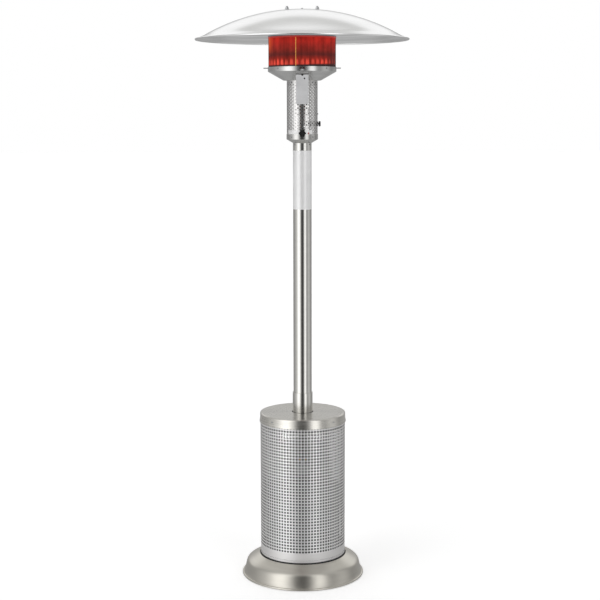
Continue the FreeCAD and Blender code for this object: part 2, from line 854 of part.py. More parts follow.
def housing_cup():
    """Spun cup: spigot inside the post, cone, and a band that is notched for the valve's nut."""
    spigot_radius = post_bore_radius - running_fit
    cone_top = post_top + cup_cone_height
    cup = turned([
        (spigot_radius - cup_wall * 2, post_top - cup_spigot_length),
        (spigot_radius, post_top - cup_spigot_length),
        (spigot_radius, post_top),
        (post_radius, post_top),
        (cup_radius, cone_top),
        (cup_radius, cup_top),
        (cup_radius - cup_wall, cup_top),
        (cup_radius - cup_wall, cone_top + loose_fit),
        (post_radius - cup_wall, post_top + cup_wall * 1.6),
        (spigot_radius - cup_wall * 2, post_top + cup_wall * 1.6),
    ])
    band_hole = radial_rod(screw_hole, cup_radius - 5, cup_radius + 2, cup_screw_level)
    low_hole = radial_rod(screw_hole, post_bore_radius - 5, post_bore_radius, post_screw_level)
    notch = rod(panel_nut_radius + 1.5, vec(0, -post_radius, knob_axis), vec(0, -nose_front, knob_axis))
    cut = cup.cut(mirrored_bearings(band_hole, cup_screw_bearing) + [notch])
    return cut.cut(mirrored_bearings(low_hole, post_screw_bearing))


def control_housing():
    """Sheet cylinder round the controls, cut for the valve nose, the igniter and the pilot lines."""
    sheet = tube(housing_radius, housing_bore, housing_bottom, housing_top)
    nose_hole = at_bearing(radial_rod(valve_nose_radius + loose_fit, valve_front, nose_front, knob_axis), 0)
    barrel_hole = radial_rod(igniter_barrel_radius + loose_fit, valve_front, nose_front, igniter_axis)
    half = slot_width / 2
    slot = block((-half, -housing_radius - 5, slot_top - slot_length), (half, -housing_radius / 2, slot_top))
    band_hole = radial_rod(screw_hole, housing_bore - 5, housing_radius + 2, cup_screw_level)
    head_hole = radial_rod(screw_hole, housing_bore - 5, housing_radius + 2, head_screw_level)
    cut = sheet.cut([nose_hole, barrel_hole, slot])
    seam_hole = radial_rod(screw_hole, housing_bore - 5, housing_radius + 2, seam_screw_level)
    cut = cut.cut(mirrored_bearings(head_hole, head_screw_bearing) + [seam_hole])
    return cut.cut(mirrored_bearings(band_hole, cup_screw_bearing))


def housing_screws():
    """Like screws: cup to post, cup to housing, housing to bowl, and one in the housing's side seam."""
    low = mirrored_bearings(radial_screw(post_radius, post_screw_level), post_screw_bearing)
    band = mirrored_bearings(radial_screw(cup_radius, cup_screw_level), cup_screw_bearing)
    head = mirrored_bearings(radial_screw(housing_radius, head_screw_level), head_screw_bearing)
    return low + band + head + [radial_screw(housing_radius, seam_screw_level)]


def valve_shelf():
    """Disc in the foot of the housing, on the cup's cone, that carries the valve and the tilt switch."""
    plate = disc(housing_bore - running_fit, shelf_bottom, shelf_top)
    passage = disc(elbow_radius + 2, shelf_bottom, shelf_top)
    return plate.cut(passage)


def gas_valve():
    """Die-cast valve: block on the shelf, threaded nose through the housing, elbow down to the hose."""
    back = valve_front - valve_depth
    half = valve_width / 2
    body = block((-half, -valve_front, shelf_top), (half, -back, valve_top))
    nose = rod(valve_nose_radius, vec(0, -back - 2, knob_axis), vec(0, -nose_front, knob_axis))
    level = shelf_top + elbow_radius + 4
    branch = rod(elbow_radius, vec(0, -back, level), vec(0, 0, level))
    drop = disc(elbow_radius, hose_top + 6, level)
    spigot = disc(hose_radius, hose_top, level)
    knee = Part.makeSphere(elbow_radius, vec(0, 0, level))
    outlet = disc(pipe_radius + valve_outlet_wall, valve_top, valve_top + valve_outlet_height)
    outlet = laid(outlet, 0, -back - valve_outlet_place, 0)
    valve = body.fuse([nose, branch, drop, spigot, knee, outlet]).removeSplitter()
    nose_end = vec(0, -nose_front, knob_axis)
    stem_bore = rod(stem_radius + running_fit, vec(0, -valve_front - 1, knob_axis), nose_end)
    plunger_end = valve_front - plunger_length - knob_travel - 2
    plunger_bore = rod(plunger_radius + running_fit, vec(0, -plunger_end, knob_axis), nose_end)
    return valve.cut([stem_bore, plunger_bore])


def stem_back():
    """Distance in front of the axis where the stem ends, clear of the bore's end by the knob's travel."""
    return valve_front + 1 + knob_travel + 1


def valve_plunger():
    """Pin inside the valve that the stem pushes back to open the flame-failure valve."""
    front = -stem_back()
    return rod(plunger_radius, vec(0, front + plunger_length, knob_axis), vec(0, front, knob_axis))


def knob_back():
    """Distance in front of the axis of the knob's back face, clear of the nut by the travel."""
    return plate_seat + panel_nut_height + knob_travel + knob_running_gap


def valve_stem():
    face = knob_back() + knob_depth - knob_grip_height
    return rod(stem_radius, vec(0, -stem_back(), knob_axis), vec(0, -face, knob_axis))


def control_knob():
    """Lobed knob with a grip bar across its face, bored for the stem."""
    face = knob_depth - knob_grip_height
    reach = knob_radius - 2.2
    half = knob_grip_width / 2
    core = disc(knob_radius - 2.4, 0, face)
    lobe = pillar(knob_lobe_radius, knob_radius - knob_lobe_radius, 0, face)
    grip = block((-half, -reach, face), (half, reach, knob_depth))
    bore = disc(stem_radius + running_fit / 4, 0, face)
    knob = core.fuse(around(lobe, knob_lobes, 90) + [grip]).removeSplitter().cut(bore)
    return facing_front(laid(knob, 0, 0, knob_back()), knob_axis)


def panel_nuts():
    """Nut on the valve's nose and round bezel nut on the igniter's barrel, both outside the housing."""
    nut = hexagon(panel_nut_radius, plate_seat, plate_seat + panel_nut_height)
    nut = nut.cut(disc(valve_nose_radius + running_fit, plate_seat, plate_seat + panel_nut_height))
    seat = housing_radius + running_fit
    ring = tube(igniter_nut_radius, igniter_barrel_radius + running_fit, seat, seat + igniter_nut_height)
    return [facing_front(nut, knob_axis), facing_right(ring, igniter_axis)]


def facing_right(shape, height):
    """Turns a shape made about Z, its foot at the origin, to point to the right at a height."""
    moved = shape.copy()
    moved.rotate(vec(0, 0, 0), vec(0, 1, 0), 90)
    moved.translate(vec(0, 0, height))
    return moved


def barrel_front():
    return housing_radius + igniter_nut_height + 0.5


def igniter_body():
    """Piezo body inside the housing with a threaded barrel through the wall."""
    front = housing_bore - igniter_inset
    back = front - igniter_body_length
    body = disc(igniter_body_radius, back, front)
    barrel = disc(igniter_barrel_radius, front, barrel_front())
    bore_foot = barrel_front() - igniter_stem_length - 2
    bore = disc(igniter_stem_radius + running_fit, bore_foot, barrel_front())
    return facing_right(body.fuse(barrel).removeSplitter().cut(bore), igniter_axis)


def igniter_button():
    """Domed cap over the bezel, on a stem that runs in the barrel."""
    floor = barrel_front() + igniter_travel + 0.5
    tip = floor + igniter_cap_length * 0.55
    back = tip - igniter_cap_length
    cap = disc(igniter_cap_radius, back, tip)
    cap = cap.makeFillet(igniter_cap_length * 0.4, circles_at(cap, igniter_cap_radius, tip))
    hollow = disc(igniter_cap_radius - igniter_cap_wall, back, floor)
    stem = disc(igniter_stem_radius, floor - igniter_stem_length, floor)
    return facing_right(cap.cut(hollow).fuse(stem).removeSplitter(), igniter_axis)


def tilt_switch():
    """Sealed tip-over switch on the shelf, at the back."""
    can = disc(tilt_radius, shelf_top, shelf_top + tilt_height)
    terminal = disc(2.5, shelf_top + tilt_height, shelf_top + tilt_height + 6)
    return laid(can.fuse(terminal).removeSplitter(), 0, tilt_place, 0)


def burner_pipe():
    """Short pipe from the valve's outlet up to the orifice on the axis."""
    side = valve_front - valve_depth + valve_outlet_place
    bottom = valve_top + valve_outlet_height
    rise = orifice_bottom - bottom - 4
    half_turn = math.atan2(side, rise)
    tangent = side / (2 * math.sin(2 * half_turn))
    bend = tangent / math.tan(half_turn)
    points = [
        vec(0, -side, bottom),
        vec(0, -side, bottom + 2 + tangent),
        vec(0, 0, orifice_bottom - 2 - tangent),
        vec(0, 0, orifice_bottom),
    ]
    return bent_tube(points, [bend, bend], pipe_radius)


def orifice():
    """Brass jet: hexagon body below, tip through the shutter's floor."""
    tip_top = shutter_bottom + orifice_tip_length
    body = hexagon(orifice_radius, orifice_bottom, shutter_bottom)
    tip = disc(orifice_tip_radius, shutter_bottom, tip_top)
    jet = disc(1.0, orifice_bottom, tip_top)
    return body.fuse(tip).removeSplitter().cut(jet)


def air_shutter():
    """Cup that holds the jet under the mixing tube, with four air windows in its side."""
    top = shutter_bottom + shutter_length
    cup = disc(shutter_radius, shutter_bottom, top)
    cup = cup.cut(disc(shutter_radius - shutter_wall, shutter_bottom + shutter_wall, top))
    hole = disc(orifice_tip_radius + running_fit, shutter_bottom, shutter_bottom + shutter_wall)
    half = shutter_window_width / 2
    low = shutter_bottom + shutter_window_rise
    window = block((shutter_radius / 2, -half, low), (shutter_radius + 2, half, low + shutter_window_height))
    return cup.cut([hole] + around(window, 4, 45))


def mixing_tube():
    """Venturi tube: bell in the shutter, throat, and a long body up into the burner's hub."""
    bell = shutter_radius - shutter_wall - running_fit
    throat = mixer_throat_radius + mixer_wall
    bell_top = shutter_bottom + shutter_length
    throat_bottom = bell_top + mixer_funnel_height
    throat_top = throat_bottom + mixer_throat_height
    outer = [
        (bell, bell_top - mixer_bell_height),
        (bell, bell_top),
        (throat, throat_bottom),
        (throat, throat_top),
        (mixer_radius, throat_top + mixer_flare_height),
        (mixer_radius, bowl_floor + bowl_wall + burner_hub_height - mixer_top_gap),
    ]
    inner = [(radius - mixer_wall, height) for radius, height in reversed(outer)]
    return turned(outer + inner)


def burner_bowl():
    """Pressed bowl: collar inside the housing, flat floor, cone, and a band round the screen."""
    collar_outer = housing_bore - running_fit
    floor_top = bowl_floor + bowl_wall
    rim_inner = bowl_rim_radius - bowl_wall
    bowl = turned([
        (collar_outer - bowl_wall, bowl_floor - bowl_collar_length),
        (collar_outer, bowl_floor - bowl_collar_length),
        (collar_outer, bowl_floor),
        (bowl_floor_radius, bowl_floor),
        (bowl_rim_radius, bowl_cone_top),
        (bowl_rim_radius, bowl_top),
        (rim_inner, bowl_top),
        (rim_inner, bowl_cone_top + bowl_wall / 2),
        (bowl_floor_radius - bowl_wall / 2, floor_top),
        (mixer_radius + loose_fit, floor_top),
        (mixer_radius + loose_fit, bowl_floor),
        (collar_outer - bowl_wall, bowl_floor),
    ])
    head_hole = radial_rod(screw_hole, collar_outer - 5, collar_outer + 2, head_screw_level)
    side_hole = radial_rod(screw_hole, bowl_rim_radius - 5, bowl_rim_radius + 3, rim_screw_level)
    pin_hole = radial_rod(pin_hole_radius, bowl_rim_radius - 5, bowl_rim_radius + 3, rim_pin_level)
    half = passage_width / 2
    passage = block((-half, -passage_outer, bowl_floor), (half, -passage_inner, bowl_cone_top))
    holes = mirrored_bearings(head_hole, head_screw_bearing)
    holes += around(side_hole, rim_screw_count, rim_screw_bearing)
    holes += around(pin_hole, 2, 90)
    return bowl.cut(holes + [passage, port_opening(bowl_rim_radius - 6, bowl_rim_radius + 3)])


def port_opening(low, high):
    """Oval pilot port at the front of the band, as a cutting solid between two radii."""
    half = (port_width - port_height) / 2
    ends = [rod(port_height / 2, vec(x, -low, port_axis), vec(x, -high, port_axis)) for x in (-half, half)]
    middle = block((-half, -high, port_axis - port_height / 2), (half, -low, port_axis + port_height / 2))
    return ends[0].fuse([ends[1], middle]).removeSplitter()


def burner_head():
    """Cast burner: hub on the bowl's floor, dished body, and a ported top with a ring of flame ports."""
    bottom = bowl_floor + bowl_wall
    hub_bore = mixer_radius + running_fit
    hub_radius = hub_bore + burner_wall
    dish_bottom = bottom + burner_hub_height
    rim_bottom = dish_bottom + burner_dish_height
    top = rim_bottom + burner_side_height
    body = turned([
        (hub_bore, bottom),
        (hub_radius + burner_foot, bottom),
        (hub_radius + burner_foot, bottom + burner_wall),
        (hub_radius, bottom + burner_wall),
        (hub_radius, dish_bottom),
        (burner_radius, rim_bottom),
        (burner_radius, top),
        (0, top),
        (0, top - burner_wall),
        (burner_radius - burner_wall, top - burner_wall),
        (burner_radius - burner_wall, rim_bottom + burner_wall / 2),
        (hub_bore, dish_bottom + burner_wall),
    ])
    port = pillar(burner_port_radius, burner_radius - burner_port_inset, top - burner_wall, top)
    return body.cut(around(port, burner_port_count, 0))


def emitter_screen():
    """Sheet cylinder that glows, sunk into the bowl's band and closed by the cap."""
    screen = tube(emitter_radius, emitter_radius - emitter_wall, emitter_bottom, emitter_top)
    side_hole = radial_rod(screw_hole, emitter_radius - 5, emitter_radius + 3, rim_screw_level)
    pin_hole = radial_rod(pin_hole_radius, emitter_radius - 5, emitter_radius + 3, rim_pin_level)
    holes = around(side_hole, rim_screw_count, rim_screw_bearing) + around(pin_hole, 2, 90)
    return screen.cut(holes + [port_opening(emitter_radius - 6, emitter_radius + 3)])


def rim_screws():
    return around(radial_screw(bowl_rim_radius, rim_screw_level), rim_screw_count, rim_screw_bearing)


def rim_pins():
    pin = radial_rod(rim_pin_radius, emitter_radius - 6, bowl_rim_radius + rim_pin_reach, rim_pin_level)
    return around(pin, 2, 90)


def emitter_cap():
    """Flat lid on the screen with a short lip outside it."""
    outer = emitter_radius + cap_overhang
    lip_inner = emitter_radius + running_fit
    cap = turned([
        (0, cap_top),
        (outer, cap_top),
        (outer, emitter_top - cap_lip),
        (lip_inner, emitter_top - cap_lip),
        (lip_inner, emitter_top),
        (0, emitter_top),
    ])
    hole = pillar(stud_radius + running_fit, stud_circle, emitter_top, cap_top)
    return cap.cut(around(hole, stud_count, stud_bearing))


def reflector():
    """Spun reflector: shallow crown, fold, and a gently falling flange with a rolled edge."""
    fold_height = crown_height(reflector_fold_radius, reflector_crown_radius)
    bead_radius = reflector_rim_radius - reflector_bead_radius
    bead_height = fold_height - reflector_rim_drop
    inner_crown = reflector_crown_radius - reflector_wall
    inner_fold = reflector_fold_radius - reflector_wall / 2
    inner_height = crown_height(inner_fold, inner_crown)
    middle = reflector_fold_radius / 2
    edges = [
        arc_edge(0, middle, reflector_fold_radius, reflector_crown_radius),
        edge_between((reflector_fold_radius, fold_height), (bead_radius, bead_height + 1)),
        edge_between((bead_radius, bead_height + 1), (bead_radius, bead_height + 1 - reflector_wall)),
        edge_between((bead_radius, bead_height + 1 - reflector_wall), (inner_fold, inner_height)),
        arc_edge(inner_fold, middle, 0, inner_crown),
        edge_between((0, reflector_apex - reflector_wall), (0, reflector_apex)),
    ]
    sheet = revolved(edges)
    bead = Part.makeTorus(bead_radius, reflector_bead_radius, vec(0, 0, bead_height))
    hole = pillar(stud_radius + loose_fit, stud_circle, cap_top, reflector_apex)
    return sheet.fuse(bead).removeSplitter().cut(around(hole, stud_count, stud_bearing))


def crown_height(radius, crown):
    """Height of the reflector's outer or inner crown above the floor at a radius."""
    centre = reflector_apex - reflector_crown_radius
    return centre + math.sqrt(crown ** 2 - radius ** 2)


def arc_edge(first, middle, last, crown):
    places = [vec(radius, 0, crown_height(radius, crown)) for radius in (first, middle, last)]
    return Part.Arc(*places).toShape()


def washer_level():
    """Height on which the washers lie: the crown at the studs' inner side."""
    return crown_height(stud_circle - washer_radius, reflector_crown_radius) + 0.05


def reflector_studs():
    bottom = emitter_top - nut_height - stud_tip
    top = washer_level() + washer_thickness + nut_height + stud_tip
    return around(pillar(stud_radius, stud_circle, bottom, top), stud_count, stud_bearing)


def reflector_spacers():
    """Distance tubes from the cap to the underside of the reflector."""
    inner_crown = reflector_crown_radius - reflector_wall
    top = crown_height(stud_circle + spacer_radius, inner_crown) - 0.05
    tube_solid = tube(spacer_radius, stud_radius + running_fit, cap_top, top)
    return around(laid(tube_solid, stud_circle, 0, 0), stud_count, stud_bearing)


def stud_washers():
    bottom = washer_level()
    ring = tube(washer_radius, stud_radius + running_fit, bottom, bottom + washer_thickness)
    return around(laid(ring, stud_circle, 0, 0), stud_count, stud_bearing)


def stud_nuts():
    """Nuts on the washers above the reflector and under the emitter cap."""
    seat = washer_level() + washer_thickness
    nuts = []
    for bottom in (seat, emitter_top - nut_height):
        nut = hexagon(nut_radius, bottom, bottom + nut_height)
        nut = nut.cut(disc(stud_radius + running_fit, bottom, bottom + nut_height))
        nuts += around(laid(nut, stud_circle, 0, 0), stud_count, stud_bearing)
    return nuts


def pilot_burner():
    """Small block on the bracket behind the port, with a nozzle that points out through the port."""
    height = pilot_seat + pilot_radius
    back = pilot_place - 4
    body = block((-4, -back - 12, pilot_seat), (4, -back, height + pilot_radius))
    nozzle = rod(pilot_radius, vec(0, -back - 10, height), vec(0, -bowl_rim_radius, height))
    return body.fuse(nozzle).removeSplitter()


def pilot_bracket():
    """Folded strip through the foot of the port: a tab outside and a wider rest inside."""
    face = bowl_rim_radius + bracket_wall
    outside = block((-6, -face, bowl_cone_top + 1), (6, -bowl_rim_radius, pilot_seat))
    neck = block((-6, -face, port_bottom), (6, -pilot_place, pilot_seat))
    half = bracket_width / 2
    rest = block((-half, -emitter_radius + 8, port_bottom), (half, -pilot_place + 5, pilot_seat))
    tube_hole = laid(disc(pilot_tube_radius + running_fit, port_bottom, pilot_seat), 0, -pilot_place, 0)
    lead_hole = laid(disc(pilot_lead_radius + running_fit, port_bottom, pilot_seat), 0, -pilot_place, 0)
    holes = [tube_hole, laid(lead_hole, -pilot_lead_pitch, 0, 0), laid(lead_hole, pilot_lead_pitch, 0, 0)]
    return outside.fuse([neck, rest]).removeSplitter().cut(holes)


def pilot_line(radius, side, start, bends, end):
    """Thin line up inside the housing, out through the slot and up behind the cover into the bowl."""
    lean_bottom = vec(side, -pilot_line_place, slot_top - slot_length + 5)
    lean_top = vec(side, -pilot_place, port_bottom - 13)
    return bent_tube(start + [lean_bottom, lean_top, vec(side, -pilot_place, end)], bends, radius)


def pilot_tube():
    start = [vec(0, -pilot_line_place, valve_top)]
    return pilot_line(pilot_tube_radius, 0, start, [pilot_line_bend] * 2, pilot_seat)


def thermocouple():
    start = [vec(-pilot_lead_pitch, -pilot_line_place, valve_top)]
    tip = pilot_seat + 2 * pilot_radius + 2
    return pilot_line(pilot_lead_radius, -pilot_lead_pitch, start, [pilot_line_bend] * 2, tip)


def igniter_lead():
    """Lead from the back of the igniter to the spark tip beside the pilot."""
    igniter_back = housing_bore - igniter_inset - igniter_body_length
    start = [
        vec(igniter_back, -5, igniter_axis),
        vec(pilot_lead_pitch, -5, igniter_axis),
        vec(pilot_lead_pitch, -pilot_line_place, igniter_axis),
    ]
    bends = [5, 10, pilot_line_bend, pilot_line_bend]
    return pilot_line(pilot_lead_radius, pilot_lead_pitch, start, bends, pilot_seat + 2 * pilot_radius + 2)


def pilot_cover():
    """Folded channel that leans from the housing out in front of the cone and hides the pilot lines."""
    low_front = housing_radius + 2.5
    cone_share = (pilot_cover_top - bowl_floor) / (bowl_cone_top - bowl_floor)
    high_front = bowl_floor_radius + (bowl_rim_radius - bowl_floor_radius) * cone_share + 3
    half = pilot_cover_width / 2
    wedge = channel_wedge(low_front, high_front, half)
    slope = math.atan2(high_front - low_front, pilot_cover_top - pilot_cover_bottom)
    inset = pilot_cover_wall / math.cos(slope)
    inner = channel_wedge(low_front - inset, high_front - inset, half - pilot_cover_wall)
    floor_top = pilot_cover_bottom + pilot_cover_wall
    inner = inner.cut(block((-half, -housing_radius * 2, pilot_cover_bottom), (half, 0, floor_top)))
    level = pilot_cover_top - pilot_cover_hole_drop
    hole = rod(pilot_cover_hole_radius, vec(0, -high_front, level), vec(0, -low_front, level))
    notch_corners = [
        vec(-pilot_cover_notch, 0, pilot_cover_top),
        vec(0, 0, pilot_cover_top - pilot_cover_notch),
        vec(pilot_cover_notch, 0, pilot_cover_top),
        vec(-pilot_cover_notch, 0, pilot_cover_top),
    ]
    notch = Part.Face(Part.makePolygon(notch_corners)).extrude(vec(0, -high_front - 5, 0))
    wall_side = disc(housing_radius + running_fit, pilot_cover_bottom, bowl_floor)
    channel = wedge.cut([inner, wall_side, bowl_envelope(), laid(hole, pilot_cover_hole_offset, 0, 0), notch])
    return max(channel.Solids, key=lambda solid: solid.Volume)


def channel_wedge(low_front, high_front, half):
    """Solid between the housing's axis side and a leaning front plane, over the cover's width."""
    corners = [
        vec(-half, -housing_radius / 2, pilot_cover_bottom),
        vec(-half, -low_front, pilot_cover_bottom),
        vec(-half, -high_front, pilot_cover_top),
        vec(-half, -housing_radius / 2, pilot_cover_top),
    ]
    face = Part.Face(Part.makePolygon(corners + [corners[0]]))
    return face.extrude(vec(2 * half, 0, 0))


def bowl_envelope():
    """Filled outer form of the bowl with a fit all round."""
    gap = running_fit
    return turned([
        (0, bowl_floor - gap),
        (bowl_floor_radius + gap, bowl_floor - gap),
        (bowl_rim_radius + gap, bowl_cone_top - gap),
        (bowl_rim_radius + gap, bowl_top),
        (0, bowl_top),
    ])


def main():
    os.makedirs("parts", exist_ok=True)
    keep("rubber_feet", rubber_feet())
    keep("base_pan", base_pan())
    keep("ballast_ring", ballast_ring())
    keep("ballast_bolts", ballast_bolts())
    keep("base_skirt", base_skirt())
    keep("cover_shell", cover_shell())
    keep("cover_lid", cover_lid())
    keep("lid_screws", lid_screws())
    keep("gas_cylinder", gas_cylinder())
    keep("cylinder_ring", cylinder_ring())
    keep("cylinder_collar", collar())
    keep("cylinder_valve", cylinder_valve())
    keep("valve_handwheel", valve_handwheel())
    keep("regulator_nut", regulator_nut())
    keep("regulator", regulator())
    keep("gas_hose", gas_hose())
    keep("hose_ferrules", hose_ferrules())
    keep("leg_left", support_leg(-90))
    keep("leg_right", support_leg(90))
    keep("leg_rear", support_leg(180))
    keep("leg_bolts", leg_bolts())
    keep("top_flange", top_flange())
    keep("hose_grommet", hose_grommet())
    keep("post_sleeve", post_sleeve())
    keep("sleeve_bolts", sleeve_bolts())
    keep("post", post())
    keep("housing_cup", housing_cup())
    keep("control_housing", control_housing())
    keep("housing_screws", housing_screws())
    keep("valve_shelf", valve_shelf())
    keep("gas_valve", gas_valve())
    keep("valve_plunger", valve_plunger())
    keep("valve_stem", valve_stem())
    keep("control_knob", control_knob())
    keep("panel_nuts", panel_nuts())
    keep("igniter_body", igniter_body())
    keep("igniter_button", igniter_button())
    keep("tilt_switch", tilt_switch())
    keep("burner_pipe", burner_pipe())
    keep("orifice", orifice())
    keep("air_shutter", air_shutter())
    keep("mixing_tube", mixing_tube())
    keep("burner_bowl", burner_bowl())
    keep("burner_head", burner_head())
    keep("emitter_screen", emitter_screen())
    keep("rim_screws", rim_screws())
    keep("rim_pins", rim_pins())
    keep("emitter_cap", emitter_cap())
    keep("reflector", reflector())
    keep("reflector_studs", reflector_studs())
    keep("reflector_spacers", reflector_spacers())
    keep("stud_washers", stud_washers())
    keep("stud_nuts", stud_nuts())
    keep("pilot_burner", pilot_burner())
    keep("pilot_bracket", pilot_bracket())
    keep("pilot_tube", pilot_tube())
    keep("thermocouple", thermocouple())
    keep("igniter_lead", igniter_lead())
    keep("pilot_cover", pilot_cover())


main()
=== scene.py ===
import math

import bmesh
import bpy
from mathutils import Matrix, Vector


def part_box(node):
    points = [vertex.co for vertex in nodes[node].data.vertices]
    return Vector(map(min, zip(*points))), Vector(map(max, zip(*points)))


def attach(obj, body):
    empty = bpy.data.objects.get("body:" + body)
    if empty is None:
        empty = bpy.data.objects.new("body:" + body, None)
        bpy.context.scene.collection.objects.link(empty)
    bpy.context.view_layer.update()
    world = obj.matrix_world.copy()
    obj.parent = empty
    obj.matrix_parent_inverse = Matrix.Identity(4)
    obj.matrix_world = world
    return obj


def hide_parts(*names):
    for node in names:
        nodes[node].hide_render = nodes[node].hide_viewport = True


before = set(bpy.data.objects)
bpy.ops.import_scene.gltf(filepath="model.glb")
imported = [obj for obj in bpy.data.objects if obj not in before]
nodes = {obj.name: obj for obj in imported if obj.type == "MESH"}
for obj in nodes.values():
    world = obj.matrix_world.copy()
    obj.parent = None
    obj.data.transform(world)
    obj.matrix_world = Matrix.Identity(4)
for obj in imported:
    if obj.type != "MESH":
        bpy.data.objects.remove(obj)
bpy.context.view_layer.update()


# Base pan on its rubber feet, with the ballast under it.
# The pan is pressed from 3 mm sheet and powder coated black. The feet are moulded rubber,
# and the ballast is a cast iron ring held up by three zinc-plated bolts.

def add(tree, kind, inputs, **settings):
    """One shader node. An input is a plain value or the output of another node."""
    node = tree.nodes.new("ShaderNode" + kind)
    for key, value in settings.items():
        setattr(node, key, value)
    for key, value in inputs.items():
        if isinstance(value, bpy.types.NodeSocket):
            tree.links.new(value, node.inputs[key])
        else:
            node.inputs[key].default_value = value
    return node


def start_group(name, inputs, outputs):
    """Empty node group with number sockets; gives its tree, what comes in and what goes out."""
    tree = bpy.data.node_groups.new(name, "ShaderNodeTree")
    for key, value in inputs.items():
        tree.interface.new_socket(key, in_out="INPUT", socket_type="NodeSocketFloat").default_value = value
    for key in outputs:
        tree.interface.new_socket(key, in_out="OUTPUT", socket_type="NodeSocketFloat")
    return tree, tree.nodes.new("NodeGroupInput").outputs, tree.nodes.new("NodeGroupOutput").inputs


def start_material(name, **plain):
    """Material whose shader has these plain values, with _ for a blank in a socket's name."""
    material = bpy.data.materials.new(name)
    material.use_nodes = True
    surface = material.node_tree.nodes["Principled BSDF"]
    for key, value in plain.items():
        surface.inputs[key.replace("_", " ")].default_value = value
    return material, material.node_tree, surface


# Fine grain with slow clouding, and dust that has settled on what faces up.
grain, taken, given = start_group("grain", {"Per metre": 900.0}, ["Grain", "Cloud", "Dust"])
place = add(grain, "TexCoord", {}).outputs["Object"]
fine = add(grain, "TexNoise", {"Vector": place, "Scale": taken["Per metre"], "Detail": 3.0, "Roughness": 0.6})
cloud = add(grain, "TexNoise", {"Vector": place, "Scale": 14.0, "Detail": 3.0})
speck = add(grain, "TexNoise", {"Vector": place, "Scale": 160.0, "Detail": 4.0})
facing = add(grain, "SeparateXYZ", {"Vector": add(grain, "NewGeometry", {}).outputs["Normal"]})
upward = add(grain, "MapRange", {"Value": facing.outputs["Z"], "From Min": 0.3, "From Max": 0.9})
settled = add(grain, "MapRange", {"Value": speck.outputs["Fac"], "From Min": 0.45, "From Max": 0.75})
grain.links.new(fine.outputs["Fac"], given["Grain"])
grain.links.new(cloud.outputs["Fac"], given["Cloud"])
dust = add(grain, "Math", {0: upward.outputs["Result"], 1: settled.outputs["Result"]}, operation="MULTIPLY")
grain.links.new(dust.outputs["Value"], given["Dust"])
dust_tone = (0.36, 0.34, 0.31, 1)


def coated(name, colour, roughness, per_metre, relief, dusty=0.25, **plain):
    """Paint, rubber or moulded plastic with its grain, faint clouding and a little dust."""
    material, tree, surface = start_material(name, **plain)
    marks = add(tree, "Group", {}, node_tree=grain)
    marks.inputs["Per metre"].default_value = per_metre
    deep = [part * 0.78 for part in colour]
    clouded = add(tree, "MixRGB", {"Fac": marks.outputs["Cloud"], "Color1": deep + [1],
                                   "Color2": colour + [1]})
    dust_share = add(tree, "Math", {0: marks.outputs["Dust"], 1: dusty}, operation="MULTIPLY")
    dusted = add(tree, "MixRGB", {"Fac": dust_share.outputs["Value"], "Color1": clouded.outputs["Color"],
                                  "Color2": dust_tone})
    gloss = add(tree, "MapRange", {"Value": marks.outputs["Grain"], "From Min": 0.3, "From Max": 0.7,
                                   "To Min": roughness * 0.85, "To Max": min(1.0, roughness * 1.15)})
    bump = add(tree, "Bump", {"Height": marks.outputs["Grain"], "Strength": relief, "Distance": 0.0003})
    tree.links.new(dusted.outputs["Color"], surface.inputs["Base Color"])
    tree.links.new(gloss.outputs["Result"], surface.inputs["Roughness"])
    tree.links.new(bump.outputs["Normal"], surface.inputs["Normal"])
    return material


def dress(material, *names):
    """Gives CAD nodes, whose shape is right as it is, their finish."""
    for name in names:
        for place_in_list in nodes[name].material_slots:
            place_in_list.material = material


black_coat = coated("black_powder_coat", [0.022, 0.022, 0.023], 0.42, 1400.0, 0.35, Specular_IOR_Level=0.5)
rubber = coated("foot_rubber", [0.018, 0.018, 0.019], 0.75, 700.0, 0.5)
cast_iron = coated("cast_iron", [0.07, 0.067, 0.064], 0.62, 420.0, 0.9, dusty=0.4, Metallic=0.6)
dress(black_coat, "base_pan", "cylinder_ring")
dress(rubber, "rubber_feet")
dress(cast_iron, "ballast_ring", "burner_head")


# Spun base skirt.
# Stainless sheet 1.5 mm thick, spun over a former, its outer edge rolled into a bead and
# its inner edge turned down on the pan's shoulder. Lathe marks run round it.

# Marks of spinning and grinding that run round the axis, stronger here and weaker there.
turned_marks, taken, given = start_group("turned_marks", {"Per metre": 1500.0}, ["Marks", "Bands", "Smears"])
place = add(turned_marks, "TexCoord", {}).outputs["Object"]
part = add(turned_marks, "SeparateXYZ", {"Vector": place})
flat = add(turned_marks, "CombineXYZ", {"X": part.outputs["X"], "Y": part.outputs["Y"]})
radius = add(turned_marks, "VectorMath", {0: flat.outputs["Vector"]}, operation="LENGTH")
heading = add(turned_marks, "VectorMath", {0: flat.outputs["Vector"]}, operation="NORMALIZE")
way = add(turned_marks, "SeparateXYZ", {"Vector": heading.outputs["Vector"]})
across = add(turned_marks, "Math", {0: radius.outputs["Value"], 1: taken["Per metre"]}, operation="MULTIPLY")
along = add(turned_marks, "Math", {0: part.outputs["Z"], 1: taken["Per metre"]}, operation="MULTIPLY")
lines = add(turned_marks, "CombineXYZ",
            {"X": across.outputs["Value"], "Y": along.outputs["Value"], "Z": way.outputs["X"]})
marks = add(turned_marks, "TexNoise", {"Vector": lines.outputs["Vector"], "W": way.outputs["Y"],
                                       "Scale": 1.0, "Detail": 3.0, "Roughness": 0.65}, noise_dimensions="4D")
wide = add(turned_marks, "VectorMath", {0: lines.outputs["Vector"], 1: (0.06, 0.06, 1.5)},
           operation="MULTIPLY")
bands = add(turned_marks, "TexNoise", {"Vector": wide.outputs["Vector"], "W": way.outputs["Y"],
                                       "Scale": 1.0, "Detail": 1.0}, noise_dimensions="4D")
